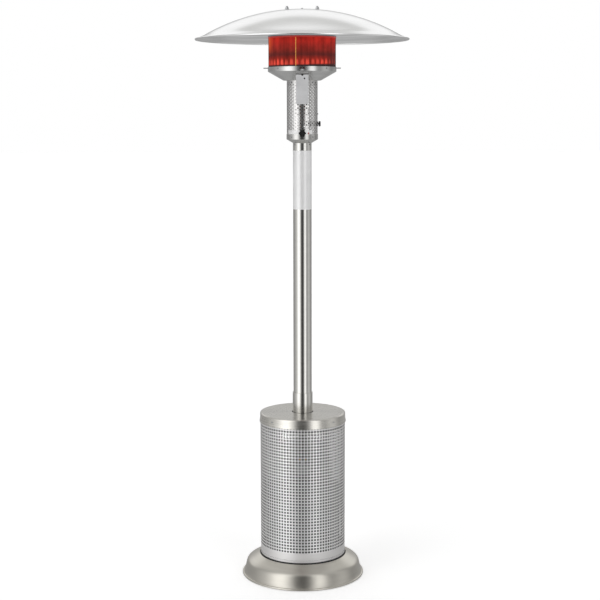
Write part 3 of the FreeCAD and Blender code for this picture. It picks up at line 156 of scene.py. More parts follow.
smears = add(turned_marks, "TexNoise", {"Vector": place, "Scale": 22.0, "Detail": 5.0, "Roughness": 0.65})
turned_marks.links.new(marks.outputs["Fac"], given["Marks"])
turned_marks.links.new(bands.outputs["Fac"], given["Bands"])
turned_marks.links.new(smears.outputs["Fac"], given["Smears"])


def worked_metal(name, colour, roughness, per_metre, relief, stretch, depth=0.12, smeared=0.03, **plain):
    """Bare metal with its working marks, slow bands and smears. Gloss stretches across the marks."""
    material, tree, surface = start_material(name, Metallic=1.0, Anisotropic=stretch,
                                             Anisotropic_Rotation=0.25, **plain)
    marks = add(tree, "Group", {}, node_tree=turned_marks)
    marks.inputs["Per metre"].default_value = per_metre
    deep = [part * (1 - depth) for part in colour]
    lined = add(tree, "MixRGB", {"Fac": marks.outputs["Marks"], "Color1": deep + [1],
                                 "Color2": colour + [1]})
    banded = add(tree, "MapRange", {"Value": marks.outputs["Bands"], "From Min": 0.3, "From Max": 0.7,
                                    "To Min": 1 - depth / 2, "To Max": 1 + depth / 3})
    toned = add(tree, "VectorMath", {0: lined.outputs["Color"], 1: banded.outputs["Result"]},
                operation="MULTIPLY")
    smear = add(tree, "MapRange", {"Value": marks.outputs["Smears"], "From Min": 0.5, "From Max": 0.75,
                                   "To Min": 0.0, "To Max": smeared})
    fine = add(tree, "MapRange", {"Value": marks.outputs["Marks"], "From Min": 0.3, "From Max": 0.7,
                                  "To Min": roughness * 0.85, "To Max": roughness * 1.15})
    gloss = add(tree, "Math", {0: fine.outputs["Result"], 1: smear.outputs["Result"]}, operation="ADD")
    bump = add(tree, "Bump", {"Height": marks.outputs["Marks"], "Strength": relief, "Distance": 0.0001})
    tree.links.new(toned.outputs["Vector"], surface.inputs["Base Color"])
    tree.links.new(gloss.outputs["Value"], surface.inputs["Roughness"])
    tree.links.new(bump.outputs["Normal"], surface.inputs["Normal"])
    if stretch:
        lie = add(tree, "Tangent", {}, direction_type="RADIAL", axis="Z")
        tree.links.new(lie.outputs["Tangent"], surface.inputs["Tangent"])
    return material


skirt_steel = worked_metal("spun_skirt_steel", [0.66, 0.635, 0.575], 0.35, 1300.0, 0.06, 0.7, depth=0.07)
dress(skirt_steel, "base_skirt")


# Gas cylinder with its guard, standing in a ring on the pan.
# Welded steel, painted dark grey as painted shade inside the cover; the collar guards the valve and has two
# grips.

cylinder_paint = coated("cylinder_paint", [0.1, 0.105, 0.11], 0.42, 260.0, 0.12, dusty=0.35, Coat_Weight=0.2)
dress(cylinder_paint, "gas_cylinder", "cylinder_collar")


# Cylinder valve, handwheel, hand nut, regulator and hose.
# The valve is forged brass, the wheel and the ribbed nut are moulded plastic, and the
# regulator is die cast. The hose is ribbed black rubber, crimped in two steel ferrules.

valve_brass = coated("valve_brass", [0.62, 0.42, 0.16], 0.32, 500.0, 0.2, Metallic=1.0)
dark_plastic = coated("black_plastic", [0.016, 0.016, 0.017], 0.4, 1800.0, 0.25, dusty=0.12)
cast_zinc = coated("die_cast_zinc", [0.42, 0.43, 0.44], 0.48, 800.0, 0.35, Metallic=0.9)
plated = coated("bright_zinc", [0.56, 0.57, 0.58], 0.3, 1200.0, 0.15, Metallic=1.0)
dress(valve_brass, "cylinder_valve", "orifice")
dress(dark_plastic, "valve_handwheel", "regulator_nut", "igniter_body", "tilt_switch",
      "igniter_button", "control_knob")
dress(cast_zinc, "regulator", "gas_valve", "burner_pipe", "pilot_tube")
dress(rubber, "gas_hose", "hose_grommet")
dress(plated, "ballast_bolts", "hose_ferrules", "leg_bolts", "sleeve_bolts", "panel_nuts",
      "rim_pins", "reflector_studs", "reflector_spacers", "stud_washers", "stud_nuts",
      "lid_screws", "housing_screws", "rim_screws")


# Support legs and the flange that they carry.
# Flat bar 30 by 5 mm, bent at both ends and powder coated black, bolted to the pan and
# to the round plate on which the post stands.

dress(black_coat, "leg_left", "leg_right", "leg_rear", "top_flange")


# Perforated cover.
# Stainless sheet 1.2 mm thick, punched with square holes in straight rows, rolled and
# welded. A plain band is left at each edge, and a fine hem bead runs round the lower one.

def placed(mesh, name, material, body, slot, *stands_for, lining=None):
    """Makes a piece of a mesh: soft faces, sharp folds, finish, body and the solids it stands for."""
    for face in mesh.faces:
        face.smooth = True
        away = face.calc_center_median() * Vector((1, 1, 0))
        # Faces turned towards the axis take the lining, which is painted shade inside the sheet.
        face.material_index = 1 if lining and face.normal.dot(away.normalized()) < 0.5 else 0
    for edge in mesh.edges:
        edge.smooth = edge.calc_face_angle(0.0) < math.radians(32)
    data = bpy.data.meshes.new(name)
    mesh.to_mesh(data)
    mesh.free()
    data.materials.append(material)
    if lining:
        data.materials.append(lining)
    piece = bpy.data.objects.new(name, data)
    bpy.context.scene.collection.objects.link(piece)
    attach(piece, body)
    if stands_for:
        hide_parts(*stands_for)
    return piece


def rolled(mesh, radius):
    """Rolls a flat sheet, drawn in X and Z, round the axis with X = 0 at the front."""
    for corner in mesh.verts:
        turn = corner.co.x / radius
        corner.co = (radius * math.sin(turn), -radius * math.cos(turn), corner.co.z)


def repeated(mesh, parts, step, count):
    """Copies parts of a mesh along a step, count pieces in all."""
    for number in range(1, count):
        copy = bmesh.ops.duplicate(mesh, geom=parts)
        moved = [item for item in copy["geom"] if isinstance(item, bmesh.types.BMVert)]
        bmesh.ops.translate(mesh, verts=moved, vec=Vector(step) * number)


def carried_round(mesh, count):
    """Copies a strip round the axis and merges the seams."""
    everything = mesh.verts[:] + mesh.edges[:] + mesh.faces[:]
    bmesh.ops.spin(mesh, geom=everything, cent=(0, 0, 0), axis=(0, 0, 1), angle=math.tau,
                   steps=count, use_duplicate=True)
    bmesh.ops.remove_doubles(mesh, verts=mesh.verts, dist=0.00005)


def edge_ring(mesh, height):
    """Open edges of a rolled sheet at one height."""
    return [edge for edge in mesh.edges
            if edge.is_boundary and all(abs(end.co.z - height) < 0.0002 for end in edge.verts)]


def drawn_out(mesh, ring, line):
    """Pulls a ring of open edges on through (radius, height) places."""
    for radius, height in line:
        grown = bmesh.ops.extrude_edge_only(mesh, edges=ring)["geom"]
        fresh = {item for item in grown if isinstance(item, bmesh.types.BMVert)}
        for corner in fresh:
            away = Vector((corner.co.x, corner.co.y, 0)).normalized() * radius
            corner.co = (away.x, away.y, height)
        ring = [item for item in grown if isinstance(item, bmesh.types.BMEdge)
                and item.verts[0] in fresh and item.verts[1] in fresh]


def thickened(mesh, wall):
    """Turns a rolled sheet into a wall that grows inwards from its outer face."""
    bmesh.ops.recalc_face_normals(mesh, faces=mesh.faces)
    outward = sum(face.normal.dot(Vector((face.calc_center_median().x, face.calc_center_median().y, 0)))
                  for face in mesh.faces)
    if outward < 0:
        bmesh.ops.reverse_faces(mesh, faces=mesh.faces)
    bmesh.ops.solidify(mesh, geom=mesh.faces[:], thickness=wall)


cover_low, cover_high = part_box("cover_shell")
cover_radius = 0.1765
cover_wall = 0.0012
hole_columns = 88
hole_rows = 42
hole_width = 0.0055
first_row = 0.1343
row_pitch = math.tau * cover_radius / hole_columns

cover = bmesh.new()
bmesh.ops.create_grid(cover, x_segments=1, y_segments=1, size=row_pitch / 2)
bmesh.ops.inset_individual(cover, faces=cover.faces, thickness=(row_pitch - hole_width) / 2)
hole = min(cover.faces, key=lambda face: face.calc_center_median().length)
bmesh.ops.delete(cover, geom=[hole], context="FACES_ONLY")
for corner in cover.verts:
    corner.co = (corner.co.x, 0, corner.co.y + first_row + row_pitch / 2)
cell = cover.verts[:] + cover.edges[:] + cover.faces[:]
repeated(cover, cell, (0, 0, row_pitch), hole_rows)
rolled(cover, cover_radius)
carried_round(cover, hole_columns)
hem_radius = 0.0016
hem_height = cover_low.z + 0.008
hem_line = [(cover_radius + hem_radius * math.sin(math.radians(turn)),
             hem_height + hem_radius * math.cos(math.radians(turn))) for turn in range(0, 181, 30)]
drawn_out(cover, edge_ring(cover, first_row), hem_line + [(cover_radius, cover_low.z)])
drawn_out(cover, edge_ring(cover, first_row + hole_rows * row_pitch), [(cover_radius, cover_high.z)])
thickened(cover, cover_wall)
cover_steel = worked_metal("punched_cover_steel", [0.93, 0.92, 0.915], 0.42, 900.0, 0.04, 0.4, depth=0.07)
tree = cover_steel.node_tree
surface = tree.nodes["Principled BSDF"]
level = add(tree, "SeparateXYZ", {"Vector": add(tree, "TexCoord", {}).outputs["Object"]}).outputs["Z"]
band_top = first_row - 0.002
# The punched part is dulled by the press; the plain band is bright metal with a rougher finish.
bright = add(tree, "MapRange", {"Value": level, "From Min": band_top, "From Max": first_row,
                                "To Min": 1.0, "To Max": 0.6})
matted = add(tree, "MapRange", {"Value": level, "From Min": band_top, "From Max": first_row,
                                "To Min": 0.26, "To Max": 0.0})
tree.links.new(bright.outputs["Result"], surface.inputs["Metallic"])
gloss = add(tree, "Math", {0: surface.inputs["Roughness"].links[0].from_socket, 1: matted.outputs["Result"]},
            operation="ADD")
tree.links.new(gloss.outputs["Value"], surface.inputs["Roughness"])
# Near-black lining for the inner faces: painted shade inside the cover and the housing, not the steel's own
# colour.
painted_shade_lining = coated("lining_painted_shade", [0.08, 0.08, 0.08], 0.6, 700.0, 0.2, dusty=0.1, Metallic=0.5)
placed(cover, "cover_sheet", cover_steel, "cover", "cover_steel", "cover_shell", lining=painted_shade_lining)


# Cover lid.
# Spun stainless with a rounded corner and a side that flares a little over the cover. Its
# top is painted darker than its side: painted shade for how the light falls on it.

lid_steel = worked_metal("spun_lid_steel", [0.77, 0.75, 0.7], 0.28, 1200.0, 0.03, 0.75, depth=0.05)
tree = lid_steel.node_tree
surface = tree.nodes["Principled BSDF"]
facing_up = add(tree, "SeparateXYZ", {"Vector": add(tree, "NewGeometry", {}).outputs["Normal"]}).outputs["Z"]
# Faces turned up are darkened: painted shade on the lid's top.
top_painted_shade = add(tree, "MapRange", {"Value": facing_up, "From Min": 0.6, "From Max": 0.9,
                                   "To Min": 1.0, "To Max": 0.73})
bare_tone = surface.inputs["Base Color"].links[0].from_socket
toned = add(tree, "VectorMath", {0: bare_tone, 1: top_painted_shade.outputs["Result"]}, operation="MULTIPLY")
tree.links.new(toned.outputs["Vector"], surface.inputs["Base Color"])
dress(lid_steel, "cover_lid")


# Post and its sleeve.
# Ground stainless tube, 76 mm across with a 2 mm wall, held in a short sleeve on the flange.
# A pale vinyl label, left blank, is wrapped round the front under the head.

def wrapped(name, material, body, slot, radius, wall, low, high, first, last):
    """Thin sheet wrapped round the axis between two heights and two bearings, 0 at the front."""
    sheet = bmesh.new()
    bmesh.ops.create_grid(sheet, x_segments=max(4, round((last - first) / 3)), y_segments=2, size=0.5)
    turn = math.radians(last - first)
    middle = math.radians(first + last) / 2
    for corner in sheet.verts:
        along = (corner.co.x * turn + middle) * radius
        corner.co = (along, 0, (low + high) / 2 + corner.co.y * (high - low))
    rolled(sheet, radius)
    thickened(sheet, wall)
    return placed(sheet, name, material, body, slot)


post_steel = worked_metal("ground_post_steel", [0.72, 0.71, 0.68], 0.17, 1100.0, 0.04, 0.7, depth=0.05)
dress(post_steel, "post", "post_sleeve")
label_radius = 0.0384
label_film_painted_glow = 0.00025
label_low, label_high = 1.539, 1.778
label_reach = 105
# The film's faint white glow is painted light, which makes it brighter than the room lights it.
vinyl = coated("label_film_painted_glow", [0.96, 0.96, 0.96], 0.4, 900.0, 0.02, dusty=0.02, Metallic=0.3,
               Coat_Weight=1.0, Coat_Roughness=0.15, Emission_Color=(1, 1, 1, 1), Emission_Strength=0.1)
wrapped("post_label", vinyl, "heater", "post_steel", label_radius, label_film_painted_glow,
        label_low, label_high, -label_reach, label_reach)


# Cup under the control housing.
# Spun stainless: a cone from the post to the band that holds the housing.

cup_steel = worked_metal("spun_cup_steel", [0.62, 0.615, 0.6], 0.22, 1300.0, 0.12, 0.7)
dress(cup_steel, "housing_cup")


# Control housing.
# Stainless sheet with round holes in staggered rows, rolled round the valve and the igniter.
# The nose of the valve, the igniter and the pilot lines pass through openings in it.

housing_low, housing_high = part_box("control_housing")
housing_radius = 0.0625
housing_wall = 0.0012
strip_pairs = 22
round_rows = 15
round_pitch = 0.01344
round_radius = 0.0029
first_round_row = 1.8475
strip_width = math.tau * housing_radius / strip_pairs / 2


def holed_strip(mesh, middle, low):
    """One strip of cells, each with a round hole, drawn flat in X and Z.

    Each cell's outline has a corner every quarter pitch, so strips set half a pitch apart meet.
    """
    circle = bmesh.ops.create_circle(mesh, segments=16, radius=round_radius)["verts"]
    rim = list({edge for corner in circle for edge in corner.link_edges})
    grown = bmesh.ops.extrude_edge_only(mesh, edges=rim)["geom"]
    outer = [item for item in grown if isinstance(item, bmesh.types.BMVert)]
    for corner in outer:
        lean = math.atan2(abs(corner.co.y), abs(corner.co.x)) / math.radians(45)
        side = math.copysign(min(1.0, 2 - lean) * strip_width / 2, corner.co.x)
        end = math.copysign(min(1.0, lean) * round_pitch / 2, corner.co.y)
        corner.co = (side, end, 0)
    cell = circle + outer
    for corner in cell:
        corner.co = (corner.co.x + middle, 0, corner.co.y + low + round_pitch / 2)
    edges = {edge for corner in cell for edge in corner.link_edges}
    faces = {face for corner in cell for face in corner.link_faces}
    repeated(mesh, cell + list(edges) + list(faces), (0, 0, round_pitch), round_rows)


def half_cell(mesh, middle, height, reach):
    """Closes the end of a strip with half a cell's height of plain sheet."""
    ends = [edge for edge in mesh.edges
            if all(abs(end.co.z - height) < 1e-5 and abs(end.co.x - middle) < strip_width * 0.6
                   for end in edge.verts)]
    for _ in range(2):
        grown = bmesh.ops.extrude_edge_only(mesh, edges=ends)["geom"]
        fresh = [item for item in grown if isinstance(item, bmesh.types.BMVert)]
        bmesh.ops.translate(mesh, verts=fresh, vec=(0, 0, reach / 2))
        ends = [item for item in grown if isinstance(item, bmesh.types.BMEdge)
                and item.verts[0] in fresh and item.verts[1] in fresh]


housing = bmesh.new()
holed_strip(housing, 0, first_round_row)
half_cell(housing, 0, first_round_row + round_rows * round_pitch, round_pitch / 2)
holed_strip(housing, strip_width, first_round_row + round_pitch / 2)
half_cell(housing, strip_width, first_round_row + round_pitch / 2, -round_pitch / 2)
rolled(housing, housing_radius)
carried_round(housing, strip_pairs)
drawn_out(housing, edge_ring(housing, first_round_row), [(housing_radius, housing_low.z)])
top_row = first_round_row + (round_rows + 0.5) * round_pitch
drawn_out(housing, edge_ring(housing, top_row), [(housing_radius, housing_high.z)])
knob_axis = 1.8478
igniter_axis = 1.8853
nose_reach = 0.0095
igniter_reach = 0.0078
slot_half = 0.017
slot_low, slot_high = 1.9823, 2.044
opened = []
for face in housing.faces:
    centre = face.calc_center_median()
    at_nose = centre.y < 0 and math.hypot(centre.x, centre.z - knob_axis) < nose_reach
    at_igniter = centre.x > 0 and math.hypot(centre.y, centre.z - igniter_axis) < igniter_reach
    at_slot = centre.y < 0 and abs(centre.x) < slot_half and slot_low < centre.z < slot_high
    if at_nose or at_igniter or at_slot:
        opened.append(face)
bmesh.ops.delete(housing, geom=opened, context="FACES")
thickened(housing, housing_wall)
housing_steel = worked_metal("punched_housing_steel", [0.7, 0.69, 0.68], 0.29, 1200.0, 0.04, 0.7,
                             depth=0.06)
placed(housing, "housing_sheet", housing_steel, "heater", "housing_steel", "control_housing",
       lining=painted_shade_lining)
plate_wall = 0.0006
backing_radius = 0.0612
backing_half = 0.013
plate_radius = 0.0632
plate_low, plate_high = 1.838, 1.86
plate_left, plate_right = -62, 40
# The backing plate behind the igniter takes the same painted shade.
wrapped("igniter_backing_plate", painted_shade_lining, "heater", "housing_steel", backing_radius, plate_wall,
        igniter_axis - backing_half, igniter_axis + backing_half, 77, 103)
# The control plate is of the same film, with its painted glow.
wrapped("control_plate", vinyl, "heater", "housing_steel", plate_radius, plate_wall,
        plate_low, plate_high, plate_left, plate_right)


# Red mark beside the knob.
# Printed dot on the control plate; the plate's words are left off.

dot_bearing = 23.3
dot_size = 0.0034
dot_level = 0.0634
dot = bmesh.new()
bmesh.ops.create_circle(dot, cap_ends=True, segments=24, radius=dot_size)
bmesh.ops.inset_region(dot, faces=dot.faces, thickness=0.0012)
for corner in dot.verts:
    corner.co = (corner.co.x + dot_level * math.radians(dot_bearing), 0, corner.co.y + knob_axis)
rolled(dot, dot_level)
thickened(dot, 0.0002)
dot_red = coated("dot_red", [0.55, 0.02, 0.04], 0.4, 900.0, 0.05, dusty=0.05)
placed(dot, "red_dot", dot_red, "heater", "housing_steel")


# Valve stem, plunger and the shelf inside the housing.
# Plain steel, darkened by heat.

dark_steel = coated("darkened_steel", [0.2, 0.19, 0.18], 0.4, 900.0, 0.25, Metallic=1.0)
dress(dark_steel, "valve_stem", "valve_plunger", "valve_shelf", "mixing_tube", "air_shutter", "pilot_burner")


# Thermocouple and igniter lead.
# Copper capillary, and a red silicone sleeve on the high-voltage lead.

copper = coated("copper_lead", [0.62, 0.3, 0.17], 0.35, 700.0, 0.2, Metallic=1.0)
red_sleeve = coated("red_silicone", [0.42, 0.03, 0.02], 0.5, 900.0, 0.2)
dress(copper, "thermocouple")
dress(red_sleeve, "igniter_lead")


# Burner bowl, pilot cover and bracket.
# Pressed stainless bowl with its band; a folded channel hides the pilot lines.

bowl_steel = worked_metal("pressed_bowl_steel", [0.68, 0.68, 0.67], 0.22, 1200.0, 0.08, 0.7)
cover_plate_steel = worked_metal("folded_cover_steel", [0.9, 0.9, 0.91], 0.48, 300.0, 0.05, 0.0)
dress(bowl_steel, "burner_bowl")
dress(cover_plate_steel, "pilot_cover", "pilot_bracket")


# Emitter screen.
# Finely holed sheet of heat-resistant steel, rolled and set on the bowl's rim. It glows red
# over the flames, which show through its foot.

emitter_low, emitter_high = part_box("emitter_screen")
glow, tree, surface = start_material("glowing_screen", Roughness=0.6, Specular_IOR_Level=0.04,
                                     Base_Color=(0.02, 0.008, 0.006, 1), Emission_Strength=1.0)
place = add(tree, "TexCoord", {}).outputs["Object"]
part = add(tree, "SeparateXYZ", {"Vector": place})
front = add(tree, "Math", {0: part.outputs["Y"], 1: -1.0}, operation="MULTIPLY")
bearing = add(tree, "Math", {0: part.outputs["X"], 1: front.outputs["Value"]}, operation="ARCTAN2")


def between(tree, value, first, last, low=0.0, high=1.0):
    """Value taken smoothly from low to high while it goes from first to last."""
    span = add(tree, "MapRange", {"Value": value, "From Min": first, "From Max": last,
                                  "To Min": low, "To Max": high}, interpolation_type="SMOOTHSTEP")
    return span.outputs["Result"]


def product(tree, first, second):
    return add(tree, "Math", {0: first, 1: second}, operation="MULTIPLY").outputs["Value"]


def blended(tree, share, first, second):
    return add(tree, "MixRGB", {"Fac": share, "Color1": first, "Color2": second}).outputs["Color"]


share = add(tree, "MapRange", {"Value": part.outputs["Z"], "From Min": emitter_low.z,
                               "From Max": emitter_high.z})
heat = add(tree, "ValToRGB", {"Fac": share.outputs["Result"]})
heat_levels = [(0.0, (0.01, 0.01, 0.012)), (0.165, (0.03, 0.022, 0.024)), (0.2, (0.3, 0.02, 0.012)),
               (0.35, (0.26, 0.018, 0.012)), (0.44, (0.115, 0.015, 0.014)), (0.49, (0.13, 0.016, 0.014)),
               (0.585, (0.23, 0.019, 0.014)), (0.7, (0.31, 0.02, 0.015)), (0.84, (0.41, 0.018, 0.012)),
               (0.97, (0.38, 0.014, 0.008)), (1.0, (0.2, 0.008, 0.004))]


def set_stops(ramp, stops):
    """Fills a colour ramp from (place, colour) pairs."""
    ramp.elements.remove(ramp.elements[1])
    for number, (at, colour) in enumerate(stops):
        stop = ramp.elements.new(at) if number else ramp.elements[0]
        stop.position = at
        stop.color = (*colour, 1)


set_stops(heat.color_ramp, heat_levels)
flame_count = 40
flame_root = 2.114
foot_line, foot_clear = 2.1145, 2.1225
wave = add(tree, "Math", {0: product(tree, bearing.outputs["Value"], float(flame_count))}, operation="COSINE")
tongue = between(tree, wave.outputs["Value"], -1.0, 0.4)
drawn = add(tree, "VectorMath", {0: place, 1: (70.0, 70.0, 3.0)}, operation="MULTIPLY")
streaks = add(tree, "TexNoise", {"Vector": drawn.outputs["Vector"], "Scale": 1.0, "Detail": 3.0})
patches = add(tree, "TexNoise", {"Vector": place, "Scale": 26.0, "Detail": 2.0})
reach = between(tree, tongue, 0.0, 1.0, 0.011, 0.023)
ragged = add(tree, "Math", {0: streaks.outputs["Fac"], 1: 0.012, 2: flame_root}, operation="MULTIPLY_ADD")
tip = add(tree, "Math", {0: reach, 1: ragged.outputs["Value"]}, operation="ADD")
under = add(tree, "Math", {0: tip.outputs["Value"], 1: part.outputs["Z"]}, operation="SUBTRACT")
rise_right = between(tree, bearing.outputs["Value"], -0.3, 1.2, 0.0, 0.006)
footed = add(tree, "Math", {0: part.outputs["Z"], 1: rise_right}, operation="SUBTRACT").outputs["Value"]
flame = product(tree, between(tree, under.outputs["Value"], -0.003, 0.013),
                between(tree, footed, foot_line, foot_clear))
flame_tone = blended(tree, tongue, (0.36, 0.02, 0.014, 1), (0.8, 0.075, 0.048, 1))
lit = blended(tree, flame, heat.outputs["Color"], flame_tone)
streaky = between(tree, streaks.outputs["Fac"], 0.3, 0.68, 0.68, 1.15)
patchy = between(tree, patches.outputs["Fac"], 0.32, 0.66, 0.8, 1.1)
screen_radius = 0.136
holes_per_metre = 420.0
unrolled = add(tree, "CombineXYZ", {"X": product(tree, bearing.outputs["Value"], screen_radius),
                                    "Y": part.outputs["Z"]})
holes = add(tree, "TexVoronoi", {"Vector": unrolled.outputs["Vector"], "Scale": holes_per_metre,
                                 "Randomness": 0.5}, voronoi_dimensions="2D")
pierced = between(tree, holes.outputs["Distance"], 0.2, 0.36, 0.6, 1.11)
uneven = product(tree, product(tree, streaky, patchy), pierced)
marked = add(tree, "VectorMath", {0: lit, 1: uneven}, operation="MULTIPLY")
left_glow = product(tree, between(tree, bearing.outputs["Value"], -0.95, -1.4),
                    between(tree, part.outputs["Z"], 2.15, 2.2))
warmer = blended(tree, product(tree, left_glow, 0.7), marked.outputs["Vector"], (0.7, 0.1, 0.025, 1))
right_dull = product(tree, between(tree, bearing.outputs["Value"], 0.7, 1.15),
                     between(tree, part.outputs["Z"], 2.168, 2.135))
duller = blended(tree, product(tree, right_dull, 0.75), warmer, (0.035, 0.02, 0.02, 1))
# The glow dims towards the screen's outline as seen from the camera: painted shade.
slant = add(tree, "LayerWeight", {"Blend": 0.5}).outputs["Facing"]
outline_painted_shade = blended(tree, between(tree, slant, 0.72, 0.95, 0.0, 0.85), duller, (0.05, 0.006, 0.004, 1))
tree.links.new(outline_painted_shade, surface.inputs["Emission Color"])
dress(glow, "emitter_screen")


# Emitter cap.
# Pressed steel lid on the screen, tinted blue by heat. Its lip glows but for the cool top edge.

cap_steel = worked_metal("heat_tinted_cap", [0.36, 0.42, 0.43], 0.35, 900.0, 0.1, 0.0,
                         Emission_Strength=1.0)
tree = cap_steel.node_tree
upright = add(tree, "SeparateXYZ", {"Vector": add(tree, "NewGeometry", {}).outputs["Normal"]})
lip = between(tree, upright.outputs["Z"], 0.6, 0.2)
cap_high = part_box("emitter_cap")[1]
cap_place = add(tree, "TexCoord", {}).outputs["Object"]
cap_level = add(tree, "SeparateXYZ", {"Vector": cap_place}).outputs["Z"]
cool_edge = cap_high.z - 0.0045
glowing = product(tree, lip, between(tree, cap_level, cool_edge + 0.0008, cool_edge - 0.0008))
cap_streaks = add(tree, "TexNoise", {"Vector": cap_place, "Scale": 60.0})
lip_tone = blended(tree, cap_streaks.outputs["Fac"], (0.25, 0.01, 0.005, 1), (0.42, 0.014, 0.008, 1))
surface = tree.nodes["Principled BSDF"]
tree.links.new(blended(tree, glowing, (0, 0, 0, 1), lip_tone), surface.inputs["Emission Color"])
tree.links.new(between(tree, upright.outputs["Z"], 0.2, 0.6), surface.inputs["Metallic"])
bare_tone = surface.inputs["Base Color"].links[0].from_socket
cooler = blended(tree, lip, bare_tone, (0.2, 0.26, 0.28, 1))
tree.links.new(blended(tree, glowing, cooler, (0.02, 0.008, 0.006, 1)), surface.inputs["Base Color"])
dress(cap_steel, "emitter_cap")


# Seam of the emitter screen.
# Welded overlap of the sheet's two edges, tempered gold by the heat.

seam_radius = 0.1364
seam_wall = 0.0004
seam_foot = emitter_low.z + 0.018
seam_gold, tree, surface = start_material("tempered_seam", Metallic=1.0, Roughness=0.35,
                                          Emission_Strength=0.5, Base_Color=(0.6, 0.36, 0.1, 1))
temper = add(tree, "TexNoise", {"Vector": add(tree, "TexCoord", {}).outputs["Object"], "Scale": 90.0,
                                "Detail": 3.0})
hot = blended(tree, temper.outputs["Fac"], (0.5, 0.12, 0.02, 1), (0.75, 0.4, 0.08, 1))
tree.links.new(hot, surface.inputs["Emission Color"])
wrapped("emitter_seam", seam_gold, "heater", "emitter_steel", seam_radius, seam_wall,
        seam_foot, emitter_high.z, -11.2, -10.2)


# Reflector.
# Spun aluminium 1.5 mm thick, bright on both faces: a shallow crown, a fold, and a
# gently falling flange that ends in a rolled edge.

dish_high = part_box("reflector")[1]
crown_radius = 0.8
dish_wall = 0.0015
fold_radius = 0.396
rolled_edge = 0.0032
rim_drop = 0.015
rim_clearance = 0.00002
rim_middle = dish_high.x - rim_clearance - rolled_edge
hub_radius = 0.004
crown_steps = 24
flange_steps = 5


def crown_place(radius, crown):
    """Place on the dish's crown at a radius, for the crown radius of its outer or inner face."""
    return radius, dish_high.z - crown_radius + math.sqrt(crown ** 2 - radius ** 2)


def crown_line(last, crown):
    """Places along the crown from the hub to its last radius."""
    return [crown_place(hub_radius + (last - hub_radius) * step / crown_steps, crown)
            for step in range(1, crown_steps + 1)]


def straight_line(first, last):
    """Places between two ends, both left out but for one close to each, which keep a fold crisp."""
    shares = [0.02] + [step / flange_steps for step in range(1, flange_steps)] + [0.98]
    return [tuple(a + (b - a) * share for a, b in zip(first, last)) for share in shares]


outer_crown = crown_line(fold_radius, crown_radius)
inner_crown = crown_line(fold_radius - dish_wall / 2, crown_radius - dish_wall)
rim_level = outer_crown[-1][1] - rim_drop
rim_line = [(rim_middle + rolled_edge * math.cos(math.radians(turn)),
             rim_level + rolled_edge * math.sin(math.radians(turn))) for turn in range(144, -193, -14)]
profile = (outer_crown + straight_line(outer_crown[-1], rim_line[0]) + rim_line
           + straight_line(rim_line[-1], inner_crown[-1]) + inner_crown[::-1])
dish = bmesh.new()
bmesh.ops.create_circle(dish, cap_ends=True, segments=192, radius=hub_radius)
bmesh.ops.translate(dish, verts=dish.verts, vec=(0, 0, crown_place(hub_radius, crown_radius)[1]))
drawn_out(dish, dish.edges[:], profile)
bmesh.ops.holes_fill(dish, edges=[edge for edge in dish.edges if edge.is_boundary])
bmesh.ops.recalc_face_normals(dish, faces=dish.faces)
dish_aluminium = worked_metal("spun_reflector_aluminium", [0.93, 0.93, 0.93], 0.16, 420.0, 0.03, 0.3,
                              depth=0.05, smeared=0.0)
tree = dish_aluminium.node_tree
surface = tree.nodes["Principled BSDF"]
# Wide rings left by spinning show on the underside only.
facing = add(tree, "SeparateXYZ", {"Vector": add(tree, "NewGeometry", {}).outputs["Normal"]}).outputs["Z"]
spinning = add(tree, "Group", {}, node_tree=turned_marks)
spinning.inputs["Per metre"].default_value = 900.0
rings = between(tree, spinning.outputs["Bands"], 0.38, 0.62, 0.92, 1.07)
bare_tone = surface.inputs["Base Color"].links[0].from_socket
ringed = add(tree, "VectorMath", {0: bare_tone, 1: rings}, operation="MULTIPLY")
tree.links.new(blended(tree, between(tree, facing, 0.1, -0.1), bare_tone, ringed.outputs["Vector"]),
               surface.inputs["Base Color"])
placed(dish, "reflector_dish", dish_aluminium, "heater", "reflector_aluminium", "reflector")


# Floor, light and camera.
# A pale floor that keeps the shadow, and a white room with bright and dark panels all round
# for the bare metal to mirror. The camera stands where the photograph was taken.

floor_reach = 60.0
floor_mesh = bmesh.new()
bmesh.ops.create_grid(floor_mesh, x_segments=1, y_segments=1, size=floor_reach)
floor_data = bpy.data.meshes.new("floor")
floor_mesh.to_mesh(floor_data)
floor_mesh.free()
floor = bpy.data.objects.new("floor", floor_data)
bpy.context.scene.collection.objects.link(floor)
floor.visible_glossy = False
floor_paint, tree, surface = start_material("pale_floor", Roughness=0.9, Specular_IOR_Level=0.0,
                                            Emission_Color=(1, 1, 1, 1))
speckle = add(tree, "TexNoise", {"Vector": add(tree, "TexCoord", {}).outputs["Object"], "Scale": 3.0})
paint = blended(tree, speckle.outputs["Fac"], (0.88, 0.88, 0.88, 1), (0.9, 0.9, 0.9, 1))
tree.links.new(paint, surface.inputs["Base Color"])
seen = add(tree, "LightPath", {}).outputs["Is Camera Ray"]
tree.links.new(product(tree, seen, 0.42), surface.inputs["Emission Strength"])
floor_data.materials.append(floor_paint)

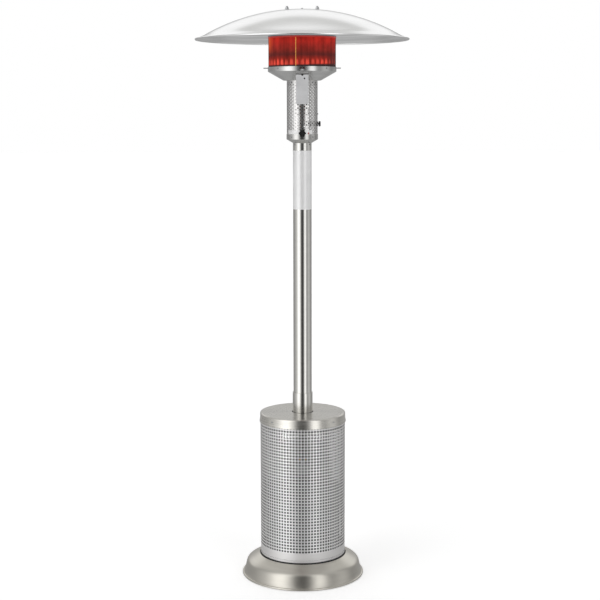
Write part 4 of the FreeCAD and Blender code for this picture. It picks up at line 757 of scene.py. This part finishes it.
world = bpy.data.worlds.new("studio")
bpy.context.scene.world = world
world.use_nodes = True
tree = world.node_tree
sky = tree.nodes["Background"]
way = add(tree, "SeparateXYZ", {"Vector": add(tree, "TexCoord", {}).outputs["Generated"]})
toward = product(tree, way.outputs["Y"], -1.0)
bearing = add(tree, "Math", {0: way.outputs["X"], 1: toward}, operation="ARCTAN2").outputs["Value"]
turn = add(tree, "MapRange", {"Value": bearing, "From Min": -math.pi, "From Max": math.pi})
rise = add(tree, "Math", {0: way.outputs["Z"]}, operation="ARCSINE").outputs["Value"]
brightest = 1.6
side_levels = [(-180, 0.38), (-128, 0.36), (-108, 0.42), (-92, 0.58), (-80, 0.66), (-66, 1.05),
               (-55, 1.6), (-38, 1.6), (-25, 0.8), (-14, 0.12), (0, 0.05), (11, 0.12), (20, 0.55),
               (28, 1.4), (40, 1.35), (50, 0.5), (62, 0.38), (78, 0.62), (94, 0.6), (112, 0.32),
               (135, 0.38), (180, 0.38)]
sides = add(tree, "ValToRGB", {"Fac": turn.outputs["Result"]})
set_stops(sides.color_ramp, [((angle + 180) / 360, [level / brightest] * 3) for angle, level in side_levels])
panels = add(tree, "VectorMath", {0: sides.outputs["Color"], 1: (brightest,) * 3}, operation="MULTIPLY")
behind = between(tree, add(tree, "Math", {0: bearing}, operation="ABSOLUTE").outputs["Value"],
                 math.radians(116), math.radians(136))
lifted = between(tree, rise, math.radians(8), math.radians(20))
backed = blended(tree, product(tree, behind, lifted), panels.outputs["Vector"], (1, 1, 1, 1))
strip_foot = between(tree, rise, math.radians(32), math.radians(39))
strip_head = between(tree, rise, math.radians(41), math.radians(58), 1.0, 0.0)
strip = product(tree, product(tree, strip_foot, strip_head), behind)
crossed = blended(tree, strip, backed, (0.63, 0.63, 0.62, 1))
overhead = between(tree, rise, math.radians(57), math.radians(66))
capped = blended(tree, overhead, crossed, (0.6, 0.6, 0.6, 1))
ground = blended(tree, behind, (0.62, 0.62, 0.62, 1), (0.46, 0.46, 0.46, 1))
below = between(tree, rise, math.radians(-26), math.radians(-38))
grounded = blended(tree, below, capped, ground)
seen = add(tree, "LightPath", {}).outputs["Is Camera Ray"]
tree.links.new(blended(tree, seen, grounded, (1, 1, 1, 1)), sky.inputs["Color"])
sky.inputs["Strength"].default_value = 1.0

camera_data = bpy.data.cameras.new("camera")
camera_data.lens = 82.8
camera_data.sensor_width = 36.0
camera = bpy.data.objects.new("camera", camera_data)
bpy.context.scene.collection.objects.link(camera)
camera.location = (-0.009, -5.65, 1.937)
camera.rotation_euler = (math.radians(90 - 7.8), math.radians(0.1), 0)
bpy.context.scene.camera = camera
bpy.context.scene.view_settings.view_transform = "Standard"
